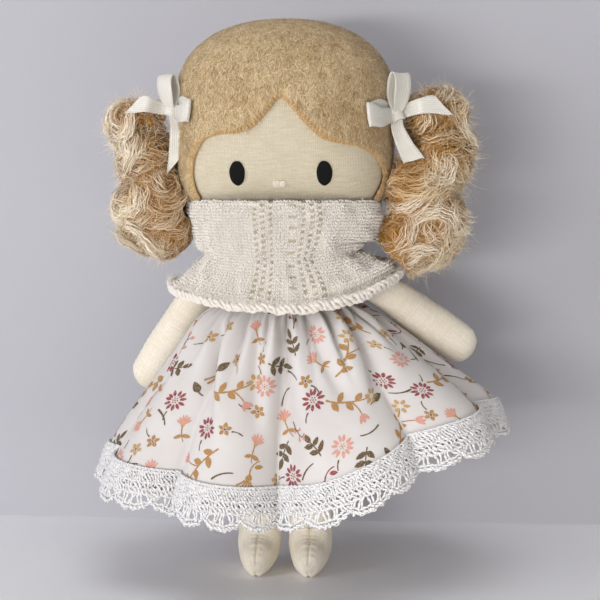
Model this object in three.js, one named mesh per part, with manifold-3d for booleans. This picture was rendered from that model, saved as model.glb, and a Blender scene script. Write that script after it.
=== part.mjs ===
// A hand-sewn linen rag doll with a felt hair cap, two mohair bunches tied with satin bows,
// a knitted cowl, and a gathered skirt edged with crochet lace.
// Millimetres, +Z up. The doll faces -Y. Left and right are the doll's own, so left is +X.
import * as THREE from "three";
import { mergeVertices } from "three/addons/utils/BufferGeometryUtils.js";
import Module from "manifold-3d";

// Fit: the gap left between pieces that only touch, and the gap round a stitched seam.
const CLEARANCE = 0.3;
const SEAM_GAP = 0.3;
const LACE_GAP = 0.55;

// Head: a flat-bottomed bun shape, widest above the eyes.
const HEAD_HALF_WIDTH = 33.8;
const HEAD_HALF_DEPTH = 23.5;
const HEAD_WIDEST_HEIGHT = 153;
const HEAD_RISE = 25.3;
const HEAD_DROP = 36;
const CROWN_POWER = 2.3;
const CHEEK_POWER = 4.5;
const BULGE_POWER = 2.2;

// Felt hair cap and its hairline: a parting peak that falls to a brow line on each side.
const FELT_THICKNESS = 1.4;
const PARTING_HEIGHT = 153.8;
const BROW_HEIGHT_RIGHT = 143;
const BROW_HEIGHT_LEFT = 139.6;
const BROW_INNER = 10.5;
const BROW_OUTER = 24;
const TEMPLE_HALF_WIDTH = 30.6;
const TEMPLE_HEIGHT = 133;

// Face: felt oval eyes and a small satin-stitched nose.
const EYE_SPACING = 27.3;
const EYE_HEIGHT = 130.4;
const EYE_WIDTH = 4.9;
const EYE_TALL = 7.6;
const EYE_THICKNESS = 0.9;
const NOSE_HEIGHT = 127;
const NOSE_WIDTH = 5;
const NOSE_TALL = 1.9;
const NOSE_THICKNESS = 1;

// Torso and neck.
const TORSO_HIP_HALF_WIDTH = 20.3;
const TORSO_HIP_HALF_DEPTH = 13;
const TORSO_WAIST_HALF_WIDTH = 17.5;
const TORSO_WAIST_HALF_DEPTH = 12;
const TORSO_SHOULDER_HALF_WIDTH = 19;
const TORSO_SHOULDER_HALF_DEPTH = 11.5;
const WAIST_HEIGHT = 92;
const SHOULDER_HEIGHT = 98;
const NECK_RADIUS = 7;
const NECK_BASE_HEIGHT = 111;
const NECK_IN_HEAD = 5;

// Arms: stuffed tubes, a little wider at the hand, hung from the shoulder seam.
const ARM_ROOT_RADIUS = 5.5;
const ARM_HAND_RADIUS = 6.9;
const ARM_LENGTH = 40.4;
const ARM_DEPTH_SHARE = 0.92;
const RIGHT_ARM_SPREAD = 32;
const LEFT_ARM_SPREAD = 54;
const ARM_BACK_TILT = 13;

// Legs: stuffed tubes pinched flat at the hip seam, with a seamed foot pointing forward.
const HIP_HEIGHT = 70;
const HIP_SPACING = 17;
const LEG_TOP_HALF_DEPTH = 4;
const LEG_TOP_HALF_WIDTH = 7.9;
const LEG_RADIUS = 7.2;
const FOOT_TOE_REACH = 17;
const FOOT_HEEL_REACH = 7.5;
const SOLE_FLAT = 0.5;

// Cowl: a knitted tube that stands round the chin and flares over the shoulders.
const COWL_THICKNESS = 1.9;
const COWL_TOP_HEIGHT = 121.5;
const COWL_HEM_HEIGHT = 88;
const COWL_COLLAR_HALF_WIDTH = 31.4;
const COWL_COLLAR_HALF_DEPTH = 20.6;
const COWL_NECK_HALF_WIDTH = 26.8;
const COWL_FOLD_HALF_WIDTH = 24.5;
const COWL_HEM_HALF_WIDTH = 38.2;
const COWL_HEM_HALF_DEPTH = 26.4;
const COWL_HEM_RISE_RIGHT = 6.5;
const COWL_HEM_RISE_LEFT = 10;

// Skirt: a gathered panel hung from a folded casing with an elastic inside.
const CASING_WALL = 0.6;
const CASING_HEIGHT = 4.6;
const ELASTIC_THICKNESS = 0.8;
const PANEL_THICKNESS = 0.8;
const PANEL_LENGTH = 67.5;
const FLARE_FRONT = 19;
const FLARE_BACK = 17;
const FLARE_RIGHT = 34;
const FLARE_LEFT = 54;
const PUFF_ANGLE = 38;
const HEM_ANGLE = 20;
const FLARE_FORWARD = 14;
const LEFT_TAKE_UP = 0.08;
const FOLD_COUNT = 10;
const FOLD_DEPTH = 3.4;
const GATHER_DEPTH = 0.9;

// Lace: scalloped crochet trim sewn over the panel's lower edge.
const SCALLOP_COUNT = 34;
const LACE_TOP_ALONG = 60.5;
const LACE_THICKNESS = 0.9;
const LACE_EYELET_TOP = 1.5;
const LACE_EYELET_BOTTOM = 4.4;
const LACE_MESH_TOP = 5.8;
const LACE_MESH_BOTTOM = 9;
const LACE_NOTCH = 11.6;
const LACE_DEPTH = 14.2;

// Room kept between the skirt's outer face and an arm, so that the lace passes under it too.
const ARM_PRESS_GAP = LACE_GAP + LACE_THICKNESS + 1;

// Mohair bunches: lumpy tufts on a tied root at each side of the head.
const BUNCH_ROOT_HEIGHT = 151;
const BUNCH_ROOT_RADIUS = 4.2;
const BUNCH_TIE_THREAD = 0.65;
const BUNCH_NECK_RADIUS = 2.1;
const BUNCH_HALF_DEPTH = 11.5;

// Satin bows: ribbon loops and tails laid over the bunch roots.
const RIBBON_WIDTH = 6.4;
const RIBBON_THICKNESS = 0.6;
const BOW_KNOT_RADIUS = 2.3;
const BOW_OUT = 34.8;
const BOW_HEIGHT = 151.5;

const LINEN = new THREE.MeshStandardMaterial({ color: 0xf1e3c8, roughness: 0.92, metalness: 0 });
const FELT = new THREE.MeshStandardMaterial({ color: 0xcba97c, roughness: 1, metalness: 0 });
const MOHAIR = new THREE.MeshStandardMaterial({ color: 0xdcbf93, roughness: 0.85, metalness: 0 });
const SATIN = new THREE.MeshStandardMaterial({ color: 0xf4efe4, roughness: 0.38, metalness: 0 });
const KNIT = new THREE.MeshStandardMaterial({ color: 0xf3ece3, roughness: 1, metalness: 0 });
const COTTON = new THREE.MeshStandardMaterial({ color: 0xf6f1ec, roughness: 0.85, metalness: 0 });
const LACE = new THREE.MeshStandardMaterial({ color: 0xf4f4f6, roughness: 0.6, metalness: 0 });
const BLACK_FELT = new THREE.MeshStandardMaterial({ color: 0x0b0b0b, roughness: 0.8, metalness: 0 });
const CREAM_FLOSS = new THREE.MeshStandardMaterial({ color: 0xf3ecd0, roughness: 0.4, metalness: 0 });
const THREAD = new THREE.MeshStandardMaterial({ color: 0xc79a58, roughness: 0.8, metalness: 0 });
const ELASTIC = new THREE.MeshStandardMaterial({ color: 0xf2f2f2, roughness: 0.7, metalness: 0 });

const wasm = await Module();
wasm.setup();

const radians = THREE.MathUtils.degToRad;
const mix = THREE.MathUtils.lerp;
const smooth = THREE.MathUtils.smoothstep;
const point = (x, y, z) => new THREE.Vector3(x, y, z);

// Value of a profile at a height; rows are [height, value, value, ...] in falling or rising order.
function between(rows, height, column) {
  const rising = rows[0][0] < rows[rows.length - 1][0];
  const sorted = rising ? rows : [...rows].reverse();
  if (height <= sorted[0][0]) return sorted[0][column];
  for (let i = 1; i < sorted.length; i++) {
    const [low, high] = [sorted[i - 1], sorted[i]];
    if (height <= high[0]) {
      return mix(low[column], high[column], (height - low[0]) / (high[0] - low[0]));
    }
  }
  return sorted[sorted.length - 1][column];
}

// A geometry from points and triangles, turned so that its faces point out.
function geometryFrom(points, triangles) {
  const geometry = new THREE.BufferGeometry();
  geometry.setAttribute("position", new THREE.Float32BufferAttribute(points.flatMap((p) => [p.x, p.y, p.z]), 3));
  let volume = 0;
  for (const [a, b, c] of triangles) {
    volume += points[a].dot(points[b].clone().cross(points[c]));
  }
  const outward = volume > 0 ? triangles : triangles.map(([a, b, c]) => [a, c, b]);
  geometry.setIndex(outward.flat());
  geometry.computeVertexNormals();
  return geometry;
}

// A closed skin through rings of points; each end is closed on the middle of its ring.
function loft(rings) {
  const count = rings[0].length;
  const points = rings.flat();
  const triangles = [];
  for (let r = 0; r + 1 < rings.length; r++) {
    for (let i = 0; i < count; i++) {
      const j = (i + 1) % count;
      const [a, b] = [r * count + i, r * count + j];
      triangles.push([a, b, b + count], [a, b + count, a + count]);
    }
  }
  for (const r of [0, rings.length - 1]) {
    const middle = rings[r].reduce((sum, p) => sum.add(p), point(0, 0, 0)).divideScalar(count);
    points.push(middle);
    for (let i = 0; i < count; i++) {
      const [a, b] = [r * count + i, r * count + ((i + 1) % count)];
      triangles.push(r === 0 ? [points.length - 1, b, a] : [points.length - 1, a, b]);
    }
  }
  return geometryFrom(points, triangles);
}

// A closed tube wall: rings run round the wall's own section, so the last ring joins the first.
function wallOf(rings) {
  const count = rings[0].length;
  const triangles = [];
  for (let r = 0; r < rings.length; r++) {
    const next = (r + 1) % rings.length;
    for (let i = 0; i < count; i++) {
      const j = (i + 1) % count;
      const [a, b] = [r * count + i, r * count + j];
      const [c, d] = [next * count + j, next * count + i];
      triangles.push([a, b, c], [a, c, d]);
    }
  }
  return geometryFrom(rings.flat(), triangles);
}

// A geometry as a manifold solid, for cuts and joins.
function solidOf(geometry) {
  const bare = geometry.clone();
  bare.deleteAttribute("normal");
  bare.deleteAttribute("uv");
  const merged = mergeVertices(bare, 1e-4);
  return new wasm.Manifold(
    new wasm.Mesh({
      numProp: 3,
      vertProperties: new Float32Array(merged.attributes.position.array),
      triVerts: new Uint32Array(merged.index.array),
    }),
  );
}

// A manifold solid back as a geometry.
function geometryOf(solid) {
  const mesh = solid.getMesh();
  const geometry = new THREE.BufferGeometry();
  const positions = new Float32Array(mesh.vertProperties.length);
  positions.set(mesh.vertProperties);
  geometry.setAttribute("position", new THREE.BufferAttribute(positions, 3));
  geometry.setIndex(Array.from(mesh.triVerts));
  geometry.computeVertexNormals();
  return geometry;
}

// The largest connected piece of a solid, so that a trim leaves no loose crumb.
function mainPiece(solid) {
  return solid.decompose().reduce((best, s) => (s.volume() > best.volume() ? s : best));
}

function named(name, geometry, material) {
  const mesh = new THREE.Mesh(geometry, material);
  mesh.name = name;
  return mesh;
}

const AROUND_HEAD = 34;
const HEAD_LATITUDES = 6;

// Distance of a point of the head's front view from its middle, as a share of the outline there.
function headShare(x, z, grow) {
  const rise = z > HEAD_WIDEST_HEIGHT;
  const power = rise ? CROWN_POWER : CHEEK_POWER;
  const tall = (rise ? HEAD_RISE : HEAD_DROP) + grow;
  const across = Math.abs(x / (HEAD_HALF_WIDTH + grow));
  const up = Math.abs((z - HEAD_WIDEST_HEIGHT) / tall);
  return (across ** power + up ** power) ** (1 / power);
}

// How far forward the head's skin lies at a place in the front view.
function headFront(x, z, grow) {
  const share = Math.min(1, headShare(x, z, grow));
  return -(HEAD_HALF_DEPTH + grow) * (1 - share ** BULGE_POWER) ** (1 / BULGE_POWER);
}

// The head's skin grown by a thickness: rings round the front-to-back axis.
function headSkin(grow) {
  const rings = [];
  for (let k = -HEAD_LATITUDES; k <= HEAD_LATITUDES; k++) {
    const latitude = (k / (HEAD_LATITUDES + 0.35)) * (Math.PI / 2);
    const ring = [];
    for (let i = 0; i < AROUND_HEAD; i++) {
      const angle = (i / AROUND_HEAD) * 2 * Math.PI;
      const [c, s] = [Math.cos(angle), Math.sin(angle)];
      const reach = 1 / headShare(c, HEAD_WIDEST_HEIGHT + s, grow);
      const share = Math.cos(latitude);
      const depth = (HEAD_HALF_DEPTH + grow) * (1 - share ** BULGE_POWER) ** (1 / BULGE_POWER);
      ring.push(point(c * reach * share, -Math.sign(k) * depth, HEAD_WIDEST_HEIGHT + s * reach * share));
    }
    rings.push(ring);
  }
  return loft(rings);
}

const feltGrow = CLEARANCE + FELT_THICKNESS;
const headBottom = HEAD_WIDEST_HEIGHT - HEAD_DROP;
const neckTop = headBottom + NECK_IN_HEAD;
const reachAll = 400;

// A large block with one face at the given height or depth, for halving a solid.
function block(x, y, z, depth = reachAll) {
  return new THREE.BoxGeometry(reachAll, depth, reachAll).translate(x, y, z);
}

function makeHead() {
  const neckHole = new THREE.CylinderGeometry(NECK_RADIUS + CLEARANCE, NECK_RADIUS + CLEARANCE, reachAll, 24)
    .rotateX(Math.PI / 2)
    .translate(0, 0, neckTop + CLEARANCE - reachAll / 2);
  return geometryOf(mainPiece(solidOf(headSkin(0)).subtract(solidOf(neckHole))));
}

// The face opening in the front view: parting peak, brows, temples, and open below the chin.
function faceOpening() {
  const below = headBottom - HEAD_DROP;
  const shape = new THREE.Shape();
  shape.moveTo(0, PARTING_HEIGHT);
  shape.quadraticCurveTo(-BROW_INNER * 0.55, mix(PARTING_HEIGHT, BROW_HEIGHT_RIGHT, 0.62), -BROW_INNER, BROW_HEIGHT_RIGHT);
  shape.lineTo(-BROW_OUTER, BROW_HEIGHT_RIGHT - 1);
  shape.quadraticCurveTo(-TEMPLE_HALF_WIDTH, BROW_HEIGHT_RIGHT - 1, -TEMPLE_HALF_WIDTH, TEMPLE_HEIGHT);
  shape.lineTo(-TEMPLE_HALF_WIDTH, below);
  shape.lineTo(TEMPLE_HALF_WIDTH, below);
  shape.lineTo(TEMPLE_HALF_WIDTH, TEMPLE_HEIGHT);
  shape.quadraticCurveTo(TEMPLE_HALF_WIDTH, BROW_HEIGHT_LEFT - 1, BROW_OUTER, BROW_HEIGHT_LEFT - 1);
  shape.lineTo(BROW_INNER * 1.25, BROW_HEIGHT_LEFT + 1);
  shape.quadraticCurveTo(BROW_INNER * 0.6, mix(PARTING_HEIGHT, BROW_HEIGHT_LEFT, 0.6), 0, PARTING_HEIGHT);
  const cutter = new THREE.ExtrudeGeometry(shape, { depth: reachAll / 2, bevelEnabled: false, curveSegments: 5 });
  return cutter.rotateX(Math.PI / 2);
}

// One half of the felt cap, split at the side seam and ending just above the collar.
function makeHair(front) {
  const felt = solidOf(headSkin(feltGrow)).subtract(solidOf(headSkin(CLEARANCE)));
  const hem = COWL_TOP_HEIGHT + CLEARANCE;
  const side = front ? -1 : 1;
  let half = felt
    .intersect(solidOf(block(0, (side * (reachAll + SEAM_GAP)) / 2, hem + reachAll / 2)));
  if (front) half = half.subtract(solidOf(faceOpening()));
  return geometryOf(mainPiece(half));
}

// A thin domed patch that lies on the head: an oval of the given size, notched in the middle if asked.
function facePatch(x, z, width, tall, thickness, notch) {
  const around = 16;
  const rings = [[], [], [], []];
  const shares = [1, 1, 0.72, 0.3];
  const lifts = [0, 0.35, 0.8, 1];
  for (let r = 0; r < rings.length; r++) {
    for (let i = 0; i < around; i++) {
      const angle = (i / around) * 2 * Math.PI;
      const waist = 1 - notch * Math.exp(-((Math.cos(angle) * 3) ** 2));
      const px = x + (Math.cos(angle) * width * shares[r]) / 2;
      const pz = z + (Math.sin(angle) * tall * waist * shares[r]) / 2;
      rings[r].push(point(px, headFront(px, pz, CLEARANCE) - lifts[r] * thickness, pz));
    }
  }
  return loft(rings);
}

const torsoBottom = HIP_HEIGHT + LEG_TOP_HALF_DEPTH + CLEARANCE;

// Torso sections: [height, half width, half depth].
const torsoRows = [
  [torsoBottom, TORSO_HIP_HALF_WIDTH * 0.86, TORSO_HIP_HALF_DEPTH * 0.74],
  [torsoBottom + 1.6, TORSO_HIP_HALF_WIDTH * 0.96, TORSO_HIP_HALF_DEPTH * 0.9],
  [mix(torsoBottom, WAIST_HEIGHT, 0.4), TORSO_HIP_HALF_WIDTH, TORSO_HIP_HALF_DEPTH],
  [WAIST_HEIGHT - 3, TORSO_WAIST_HALF_WIDTH, TORSO_WAIST_HALF_DEPTH],
  [WAIST_HEIGHT + 2.5, TORSO_WAIST_HALF_WIDTH, TORSO_WAIST_HALF_DEPTH],
  [SHOULDER_HEIGHT, TORSO_SHOULDER_HALF_WIDTH, TORSO_SHOULDER_HALF_DEPTH],
  [mix(SHOULDER_HEIGHT, NECK_BASE_HEIGHT, 0.5), TORSO_SHOULDER_HALF_WIDTH * 0.92, TORSO_SHOULDER_HALF_DEPTH * 0.92],
  [mix(SHOULDER_HEIGHT, NECK_BASE_HEIGHT, 0.8), TORSO_SHOULDER_HALF_WIDTH * 0.62, TORSO_SHOULDER_HALF_DEPTH * 0.8],
  [NECK_BASE_HEIGHT, NECK_RADIUS * 1.08, NECK_RADIUS * 1.05],
  [headBottom - 1, NECK_RADIUS, NECK_RADIUS],
  [neckTop, NECK_RADIUS, NECK_RADIUS],
];

// A level ring of points on an ellipse, or a squarer oval when the power is over 2.
function levelRing(halfWidth, halfDepth, height, count, power = 2) {
  const ring = [];
  for (let i = 0; i < count; i++) {
    const angle = (i / count) * 2 * Math.PI;
    const [c, s] = [Math.cos(angle), Math.sin(angle)];
    const x = Math.sign(c) * Math.abs(c) ** (2 / power) * halfWidth;
    const y = Math.sign(s) * Math.abs(s) ** (2 / power) * halfDepth;
    ring.push(point(x, y, height));
  }
  return ring;
}

function makeTorso() {
  return loft(torsoRows.map(([z, halfWidth, halfDepth]) => levelRing(halfWidth, halfDepth, z, 24)));
}

// Shoulder pivots lie one root radius off the torso's side.
const shoulderOut = between(torsoRows, SHOULDER_HEIGHT, 1) + CLEARANCE + ARM_ROOT_RADIUS;
const arms = [
  { name: "right_arm", side: -1, spread: RIGHT_ARM_SPREAD },
  { name: "left_arm", side: 1, spread: LEFT_ARM_SPREAD },
].map((arm) => {
  const lean = radians(arm.spread);
  const back = radians(ARM_BACK_TILT);
  const shoulder = point(arm.side * shoulderOut, 0, SHOULDER_HEIGHT);
  const direction = point(arm.side * Math.sin(lean) * Math.cos(back), Math.sin(back), -Math.cos(lean) * Math.cos(back));
  return { ...arm, shoulder, direction };
});

function armRadius(along) {
  return mix(ARM_ROOT_RADIUS, ARM_HAND_RADIUS, smooth(along, 0, ARM_LENGTH * 0.8));
}

// An arm turned on its own axis, grown by a gap where it is used as a cutter.
function armGeometry(arm, grow = 0) {
  const profile = [];
  for (let k = 0; k <= 4; k++) {
    const angle = (k / 4) * (Math.PI / 2);
    const radius = ARM_ROOT_RADIUS + grow;
    profile.push(new THREE.Vector2(radius * Math.sin(angle), -radius * Math.cos(angle)));
  }
  for (const share of [0.25, 0.5, 0.75]) {
    profile.push(new THREE.Vector2(armRadius(share * ARM_LENGTH) + grow, share * ARM_LENGTH));
  }
  for (let k = 0; k <= 4; k++) {
    const angle = (k / 4) * (Math.PI / 2);
    const radius = ARM_HAND_RADIUS + grow;
    profile.push(new THREE.Vector2(radius * Math.cos(angle), ARM_LENGTH + radius * Math.sin(angle)));
  }
  profile[0].x = 0;
  profile[profile.length - 1].x = 0;
  const turn = new THREE.Quaternion().setFromUnitVectors(point(0, 1, 0), arm.direction);
  return new THREE.LatheGeometry(profile, 16)
    .applyQuaternion(turn)
    .scale(1, ARM_DEPTH_SHARE, 1)
    .translate(arm.shoulder.x, arm.shoulder.y, arm.shoulder.z);
}

// How far a point lies outside the nearer arm.
function gapToArms(p) {
  return Math.min(
    ...arms.map(({ shoulder, direction }) => {
      const along = THREE.MathUtils.clamp(p.clone().sub(shoulder).dot(direction), 0, ARM_LENGTH + ARM_PRESS_GAP);
      const nearest = shoulder.clone().addScaledVector(direction, along);
      return p.distanceTo(nearest) - armRadius(along);
    }),
  );
}

// Leg sections down the shin and out along the foot: [y, z, pitch in degrees, half width, half depth].
function legSections() {
  const rounding = [80, 55, 28, 0].map((degrees) => {
    const angle = radians(degrees);
    const width = LEG_TOP_HALF_WIDTH * (degrees > 60 ? 0.94 : 1);
    return [0, HIP_HEIGHT + LEG_TOP_HALF_DEPTH * Math.sin(angle), 0, width, LEG_TOP_HALF_DEPTH * Math.cos(angle)];
  });
  const heelDepth = FOOT_HEEL_REACH + 1.6;
  return [
    ...rounding,
    [0, HIP_HEIGHT * 0.88, 0, LEG_RADIUS * 1.02, LEG_RADIUS * 0.86],
    [0, HIP_HEIGHT * 0.62, 0, LEG_RADIUS, LEG_RADIUS],
    [0, HIP_HEIGHT * 0.32, 0, LEG_RADIUS, LEG_RADIUS * 0.97],
    [0.3, 15, 8, LEG_RADIUS, LEG_RADIUS],
    [-0.6, 10, 32, LEG_RADIUS, heelDepth * 0.93],
    [-2.6, 7.4, 58, LEG_RADIUS * 0.98, heelDepth * 0.93],
    [-FOOT_TOE_REACH * 0.42, 5.8, 78, LEG_RADIUS * 0.88, 6.3],
    [-FOOT_TOE_REACH * 0.7, 4.9, 86, LEG_RADIUS * 0.7, 5.2],
    [-FOOT_TOE_REACH * 0.9, 4.2, 90, LEG_RADIUS * 0.45, 3.6],
    [-FOOT_TOE_REACH * 0.99, 3.8, 90, LEG_RADIUS * 0.18, 1.6],
  ];
}

function makeLeg(side) {
  const around = 16;
  const rings = legSections().map(([y, z, pitch, halfWidth, halfDepth]) => {
    const tilt = radians(pitch);
    return levelRing(halfWidth, halfDepth, 0, around).map((p) =>
      point((side * HIP_SPACING) / 2 + p.x, y + p.y * Math.cos(tilt), z - p.y * Math.sin(tilt)),
    );
  });
  const stuffed = solidOf(loft(rings));
  const lowest = stuffed.boundingBox().min[2];
  const stretched = stuffed.warp((v) => {
    v[2] = mix(v[2] - lowest - SOLE_FLAT, v[2], smooth(v[2], 0, HIP_HEIGHT * 0.5));
  });
  return geometryOf(mainPiece(stretched.subtract(solidOf(block(0, 0, -reachAll / 2)))));
}

// Cowl sections from the rim down: [front height, rise at the right, rise at the left, right half width, left half width, half depth].
const cowlSpan = COWL_TOP_HEIGHT - COWL_HEM_HEIGHT;
const cowlRows = [
  [1, 0, 0, COWL_COLLAR_HALF_WIDTH - 0.5, COWL_COLLAR_HALF_WIDTH - 0.7, COWL_COLLAR_HALF_DEPTH - 0.8],
  [0.9, 0, 0, COWL_COLLAR_HALF_WIDTH + 0.2, COWL_COLLAR_HALF_WIDTH, COWL_COLLAR_HALF_DEPTH],
  [0.73, 0, 0, COWL_COLLAR_HALF_WIDTH - 1, COWL_COLLAR_HALF_WIDTH, COWL_COLLAR_HALF_DEPTH - 0.3],
  [0.62, 0, 0, COWL_NECK_HALF_WIDTH + 0.8, COWL_FOLD_HALF_WIDTH, COWL_COLLAR_HALF_DEPTH - 1.4],
  [0.5, 0.15, 0.15, COWL_NECK_HALF_WIDTH, COWL_FOLD_HALF_WIDTH + 1.5, COWL_COLLAR_HALF_DEPTH - 1],
  [0.37, 0.3, 0.35, COWL_HEM_HALF_WIDTH - 7, COWL_HEM_HALF_WIDTH - 5, COWL_HEM_HALF_DEPTH - 4],
  [0.2, 0.55, 0.7, COWL_HEM_HALF_WIDTH - 2, COWL_HEM_HALF_WIDTH - 1.4, COWL_HEM_HALF_DEPTH - 1.4],
  [0.06, 0.8, 0.9, COWL_HEM_HALF_WIDTH, COWL_HEM_HALF_WIDTH, COWL_HEM_HALF_DEPTH],
  [0, 1, 1, COWL_HEM_HALF_WIDTH - 0.8, COWL_HEM_HALF_WIDTH - 0.8, COWL_HEM_HALF_DEPTH - 0.4],
];
const COWL_AROUND = 36;
const COWL_PLAN_POWER = 2.25;

// One ring of the cowl's outer face, moved in by a depth.
function cowlRing(row, inset) {
  const [share, riseRight, riseLeft, halfRight, halfLeft, halfDepth] = row;
  const ring = [];
  for (let i = 0; i < COWL_AROUND; i++) {
    const angle = (i / COWL_AROUND) * 2 * Math.PI;
    const [c, s] = [Math.cos(angle), Math.sin(angle)];
    const halfWidth = (c > 0 ? halfLeft : halfRight) - inset;
    const rise = c > 0 ? riseLeft * COWL_HEM_RISE_LEFT : riseRight * COWL_HEM_RISE_RIGHT;
    const x = Math.sign(c) * Math.abs(c) ** (2 / COWL_PLAN_POWER) * halfWidth;
    const y = Math.sign(s) * Math.abs(s) ** (2 / COWL_PLAN_POWER) * (halfDepth - inset);
    ring.push(point(x, y, COWL_HEM_HEIGHT + share * cowlSpan + rise * c ** 2));
  }
  return ring;
}

// The cowl trimmed where it lies on the head and over the arms.
function makeCowl() {
  const outer = cowlRows.map((row) => cowlRing(row, 0));
  const inner = cowlRows.map((row) => cowlRing(row, COWL_THICKNESS)).reverse();
  let cowl = solidOf(wallOf([...outer, ...inner]));
  cowl = cowl.subtract(solidOf(headSkin(CLEARANCE)));
  for (const arm of arms) cowl = cowl.subtract(solidOf(armGeometry(arm, CLEARANCE)));
  return geometryOf(mainPiece(cowl));
}

const casingInner = CLEARANCE;
const casingDepth = 2 * CASING_WALL + ELASTIC_THICKNESS + 2 * CLEARANCE;
const casingTop = WAIST_HEIGHT + CASING_HEIGHT / 2;
const casingBottom = WAIST_HEIGHT - CASING_HEIGHT / 2;
const BAND_AROUND = 32;

function bandRing(out, height) {
  return levelRing(TORSO_WAIST_HALF_WIDTH + out, TORSO_WAIST_HALF_DEPTH + out, height, BAND_AROUND);
}

// The casing is the panel's top edge folded over the elastic, open along its lower edge.
function makeCasing() {
  const [inner, outer] = [casingInner, casingInner + casingDepth];
  return wallOf([
    bandRing(inner, casingBottom),
    bandRing(inner, casingTop),
    bandRing(outer, casingTop),
    bandRing(outer, casingBottom),
    bandRing(outer - CASING_WALL, casingBottom),
    bandRing(outer - CASING_WALL, casingTop - CASING_WALL),
    bandRing(inner + CASING_WALL, casingTop - CASING_WALL),
    bandRing(inner + CASING_WALL, casingBottom),
  ]);
}

function makeElastic() {
  const inner = casingInner + CASING_WALL + CLEARANCE;
  const outer = inner + ELASTIC_THICKNESS;
  const [low, high] = [casingBottom + CLEARANCE, casingTop - CASING_WALL - CLEARANCE];
  return wallOf([bandRing(inner, low), bandRing(inner, high), bandRing(outer, high), bandRing(outer, low)]);
}

const STATIONS = 2 * SCALLOP_COUNT;
const PANEL_ROWS = 8;
const skirtTop = casingBottom - CLEARANCE;

// The slope of the cloth from the vertical, which depends on where round the doll it hangs.
function flareAt(angle) {
  const [c, s] = [Math.cos(angle), Math.sin(angle)];
  const side = mix(FLARE_RIGHT, FLARE_LEFT, smooth(c, -0.5, 0.5));
  const face = mix(FLARE_FRONT, FLARE_BACK, smooth(s, -0.5, 0.5));
  const sideways = Math.abs(Math.cos(angle + Math.sign(c) * radians(FLARE_FORWARD)));
  return radians(mix(face, side, sideways ** 1.6));
}

// Run, drop and slope of the cloth a length down from the casing. Small tucks take up the left side.
function hangOf(angle, along) {
  const flare = flareAt(angle);
  const steps = 12;
  const slopeAt = (share) => {
    const puff = radians(PUFF_ANGLE) * Math.cos(flare) * (1 - smooth(share, 0, 0.22));
    return mix(flare + puff, radians(HEM_ANGLE), smooth(share, 0.78, 1));
  };
  const taken = along * (1 - LEFT_TAKE_UP * smooth(Math.cos(angle), 0.2, 0.85));
  let [run, drop] = [0, 0];
  for (let k = 0; k < steps; k++) {
    const slope = slopeAt(((k + 0.5) / steps) * (along / PANEL_LENGTH));
    run += (Math.sin(slope) * taken) / steps;
    drop += (Math.cos(slope) * taken) / steps;
  }
  return { run, drop, slope: slopeAt(along / PANEL_LENGTH) };
}

// Outer face of the skirt at a station round the waist, before the arms press on it.
function freeCloth(station, along) {
  const angle = (station / STATIONS) * 2 * Math.PI;
  const { run, drop } = hangOf(angle, along);
  const share = along / PANEL_LENGTH;
  const wander = 0.35 * Math.sin(2 * angle + 0.8) + 0.22 * Math.sin(3 * angle);
  const fold = FOLD_DEPTH * smooth(share, 0.05, 0.9) * Math.cos(FOLD_COUNT * angle + 3 * wander);
  const gather = GATHER_DEPTH * (1 - smooth(share, 0, 0.45)) * (station % 2 ? 1 : -1);
  const reach = casingInner + casingDepth + run + fold + gather;
  return point(
    (TORSO_WAIST_HALF_WIDTH + reach) * Math.cos(angle),
    (TORSO_WAIST_HALF_DEPTH + reach) * Math.sin(angle),
    skirtTop - drop,
  );
}

// The same, moved in toward the doll's middle where an arm presses on the cloth.
function pressedCloth(station, along) {
  const p = freeCloth(station, along);
  const clear = (share) => gapToArms(point(p.x * share, p.y * share, p.z)) >= ARM_PRESS_GAP;
  if (clear(1)) return p;
  let [low, high] = [0.3, 1];
  for (let k = 0; k < 12; k++) {
    const middle = (low + high) / 2;
    if (clear(middle)) low = middle;
    else high = middle;
  }
  return point(p.x * low, p.y * low, p.z);
}

// Cloth rows: even down to the lace, then one more at the panel's edge.
const rowLengths = Array.from({ length: PANEL_ROWS }, (_, k) => (k / (PANEL_ROWS - 1)) * LACE_TOP_ALONG);
rowLengths.push(PANEL_LENGTH);

// A point off the cloth's outer face, on the flat between the rows above and below it.
function clothPoint(station, along, out) {
  const angle = (station / STATIONS) * 2 * Math.PI;
  const below = rowLengths.findIndex((length) => length >= along - 1e-9);
  let p;
  if (below > 0) {
    const [upper, lower] = [rowLengths[below - 1], rowLengths[below]];
    p = pressedCloth(station, upper).lerp(pressedCloth(station, lower), (along - upper) / (lower - upper));
  } else {
    p = pressedCloth(station, along);
  }
  const { slope } = hangOf(angle, Math.min(along, PANEL_LENGTH));
  const level = out * Math.cos(slope);
  return p.add(point(level * Math.cos(angle), level * Math.sin(angle), out * Math.sin(slope)));
}

function makePanel() {
  const row = (along, out) => Array.from({ length: STATIONS }, (_, i) => clothPoint(i, along, out));
  const outer = rowLengths.map((along) => row(along, 0));
  const inner = rowLengths.map((along) => row(along, -PANEL_THICKNESS)).reverse();
  return wallOf([...outer, ...inner]);
}

// A point of the lace between two stations, so that it lies on the panel's own facets.
function lacePoint(place, down, layer) {
  const out = LACE_GAP + layer * LACE_THICKNESS;
  const first = Math.floor(place);
  const start = clothPoint(first % STATIONS, LACE_TOP_ALONG + down, out);
  const end = clothPoint((first + 1) % STATIONS, LACE_TOP_ALONG + down, out);
  return start.lerp(end, place - first);
}

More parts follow.
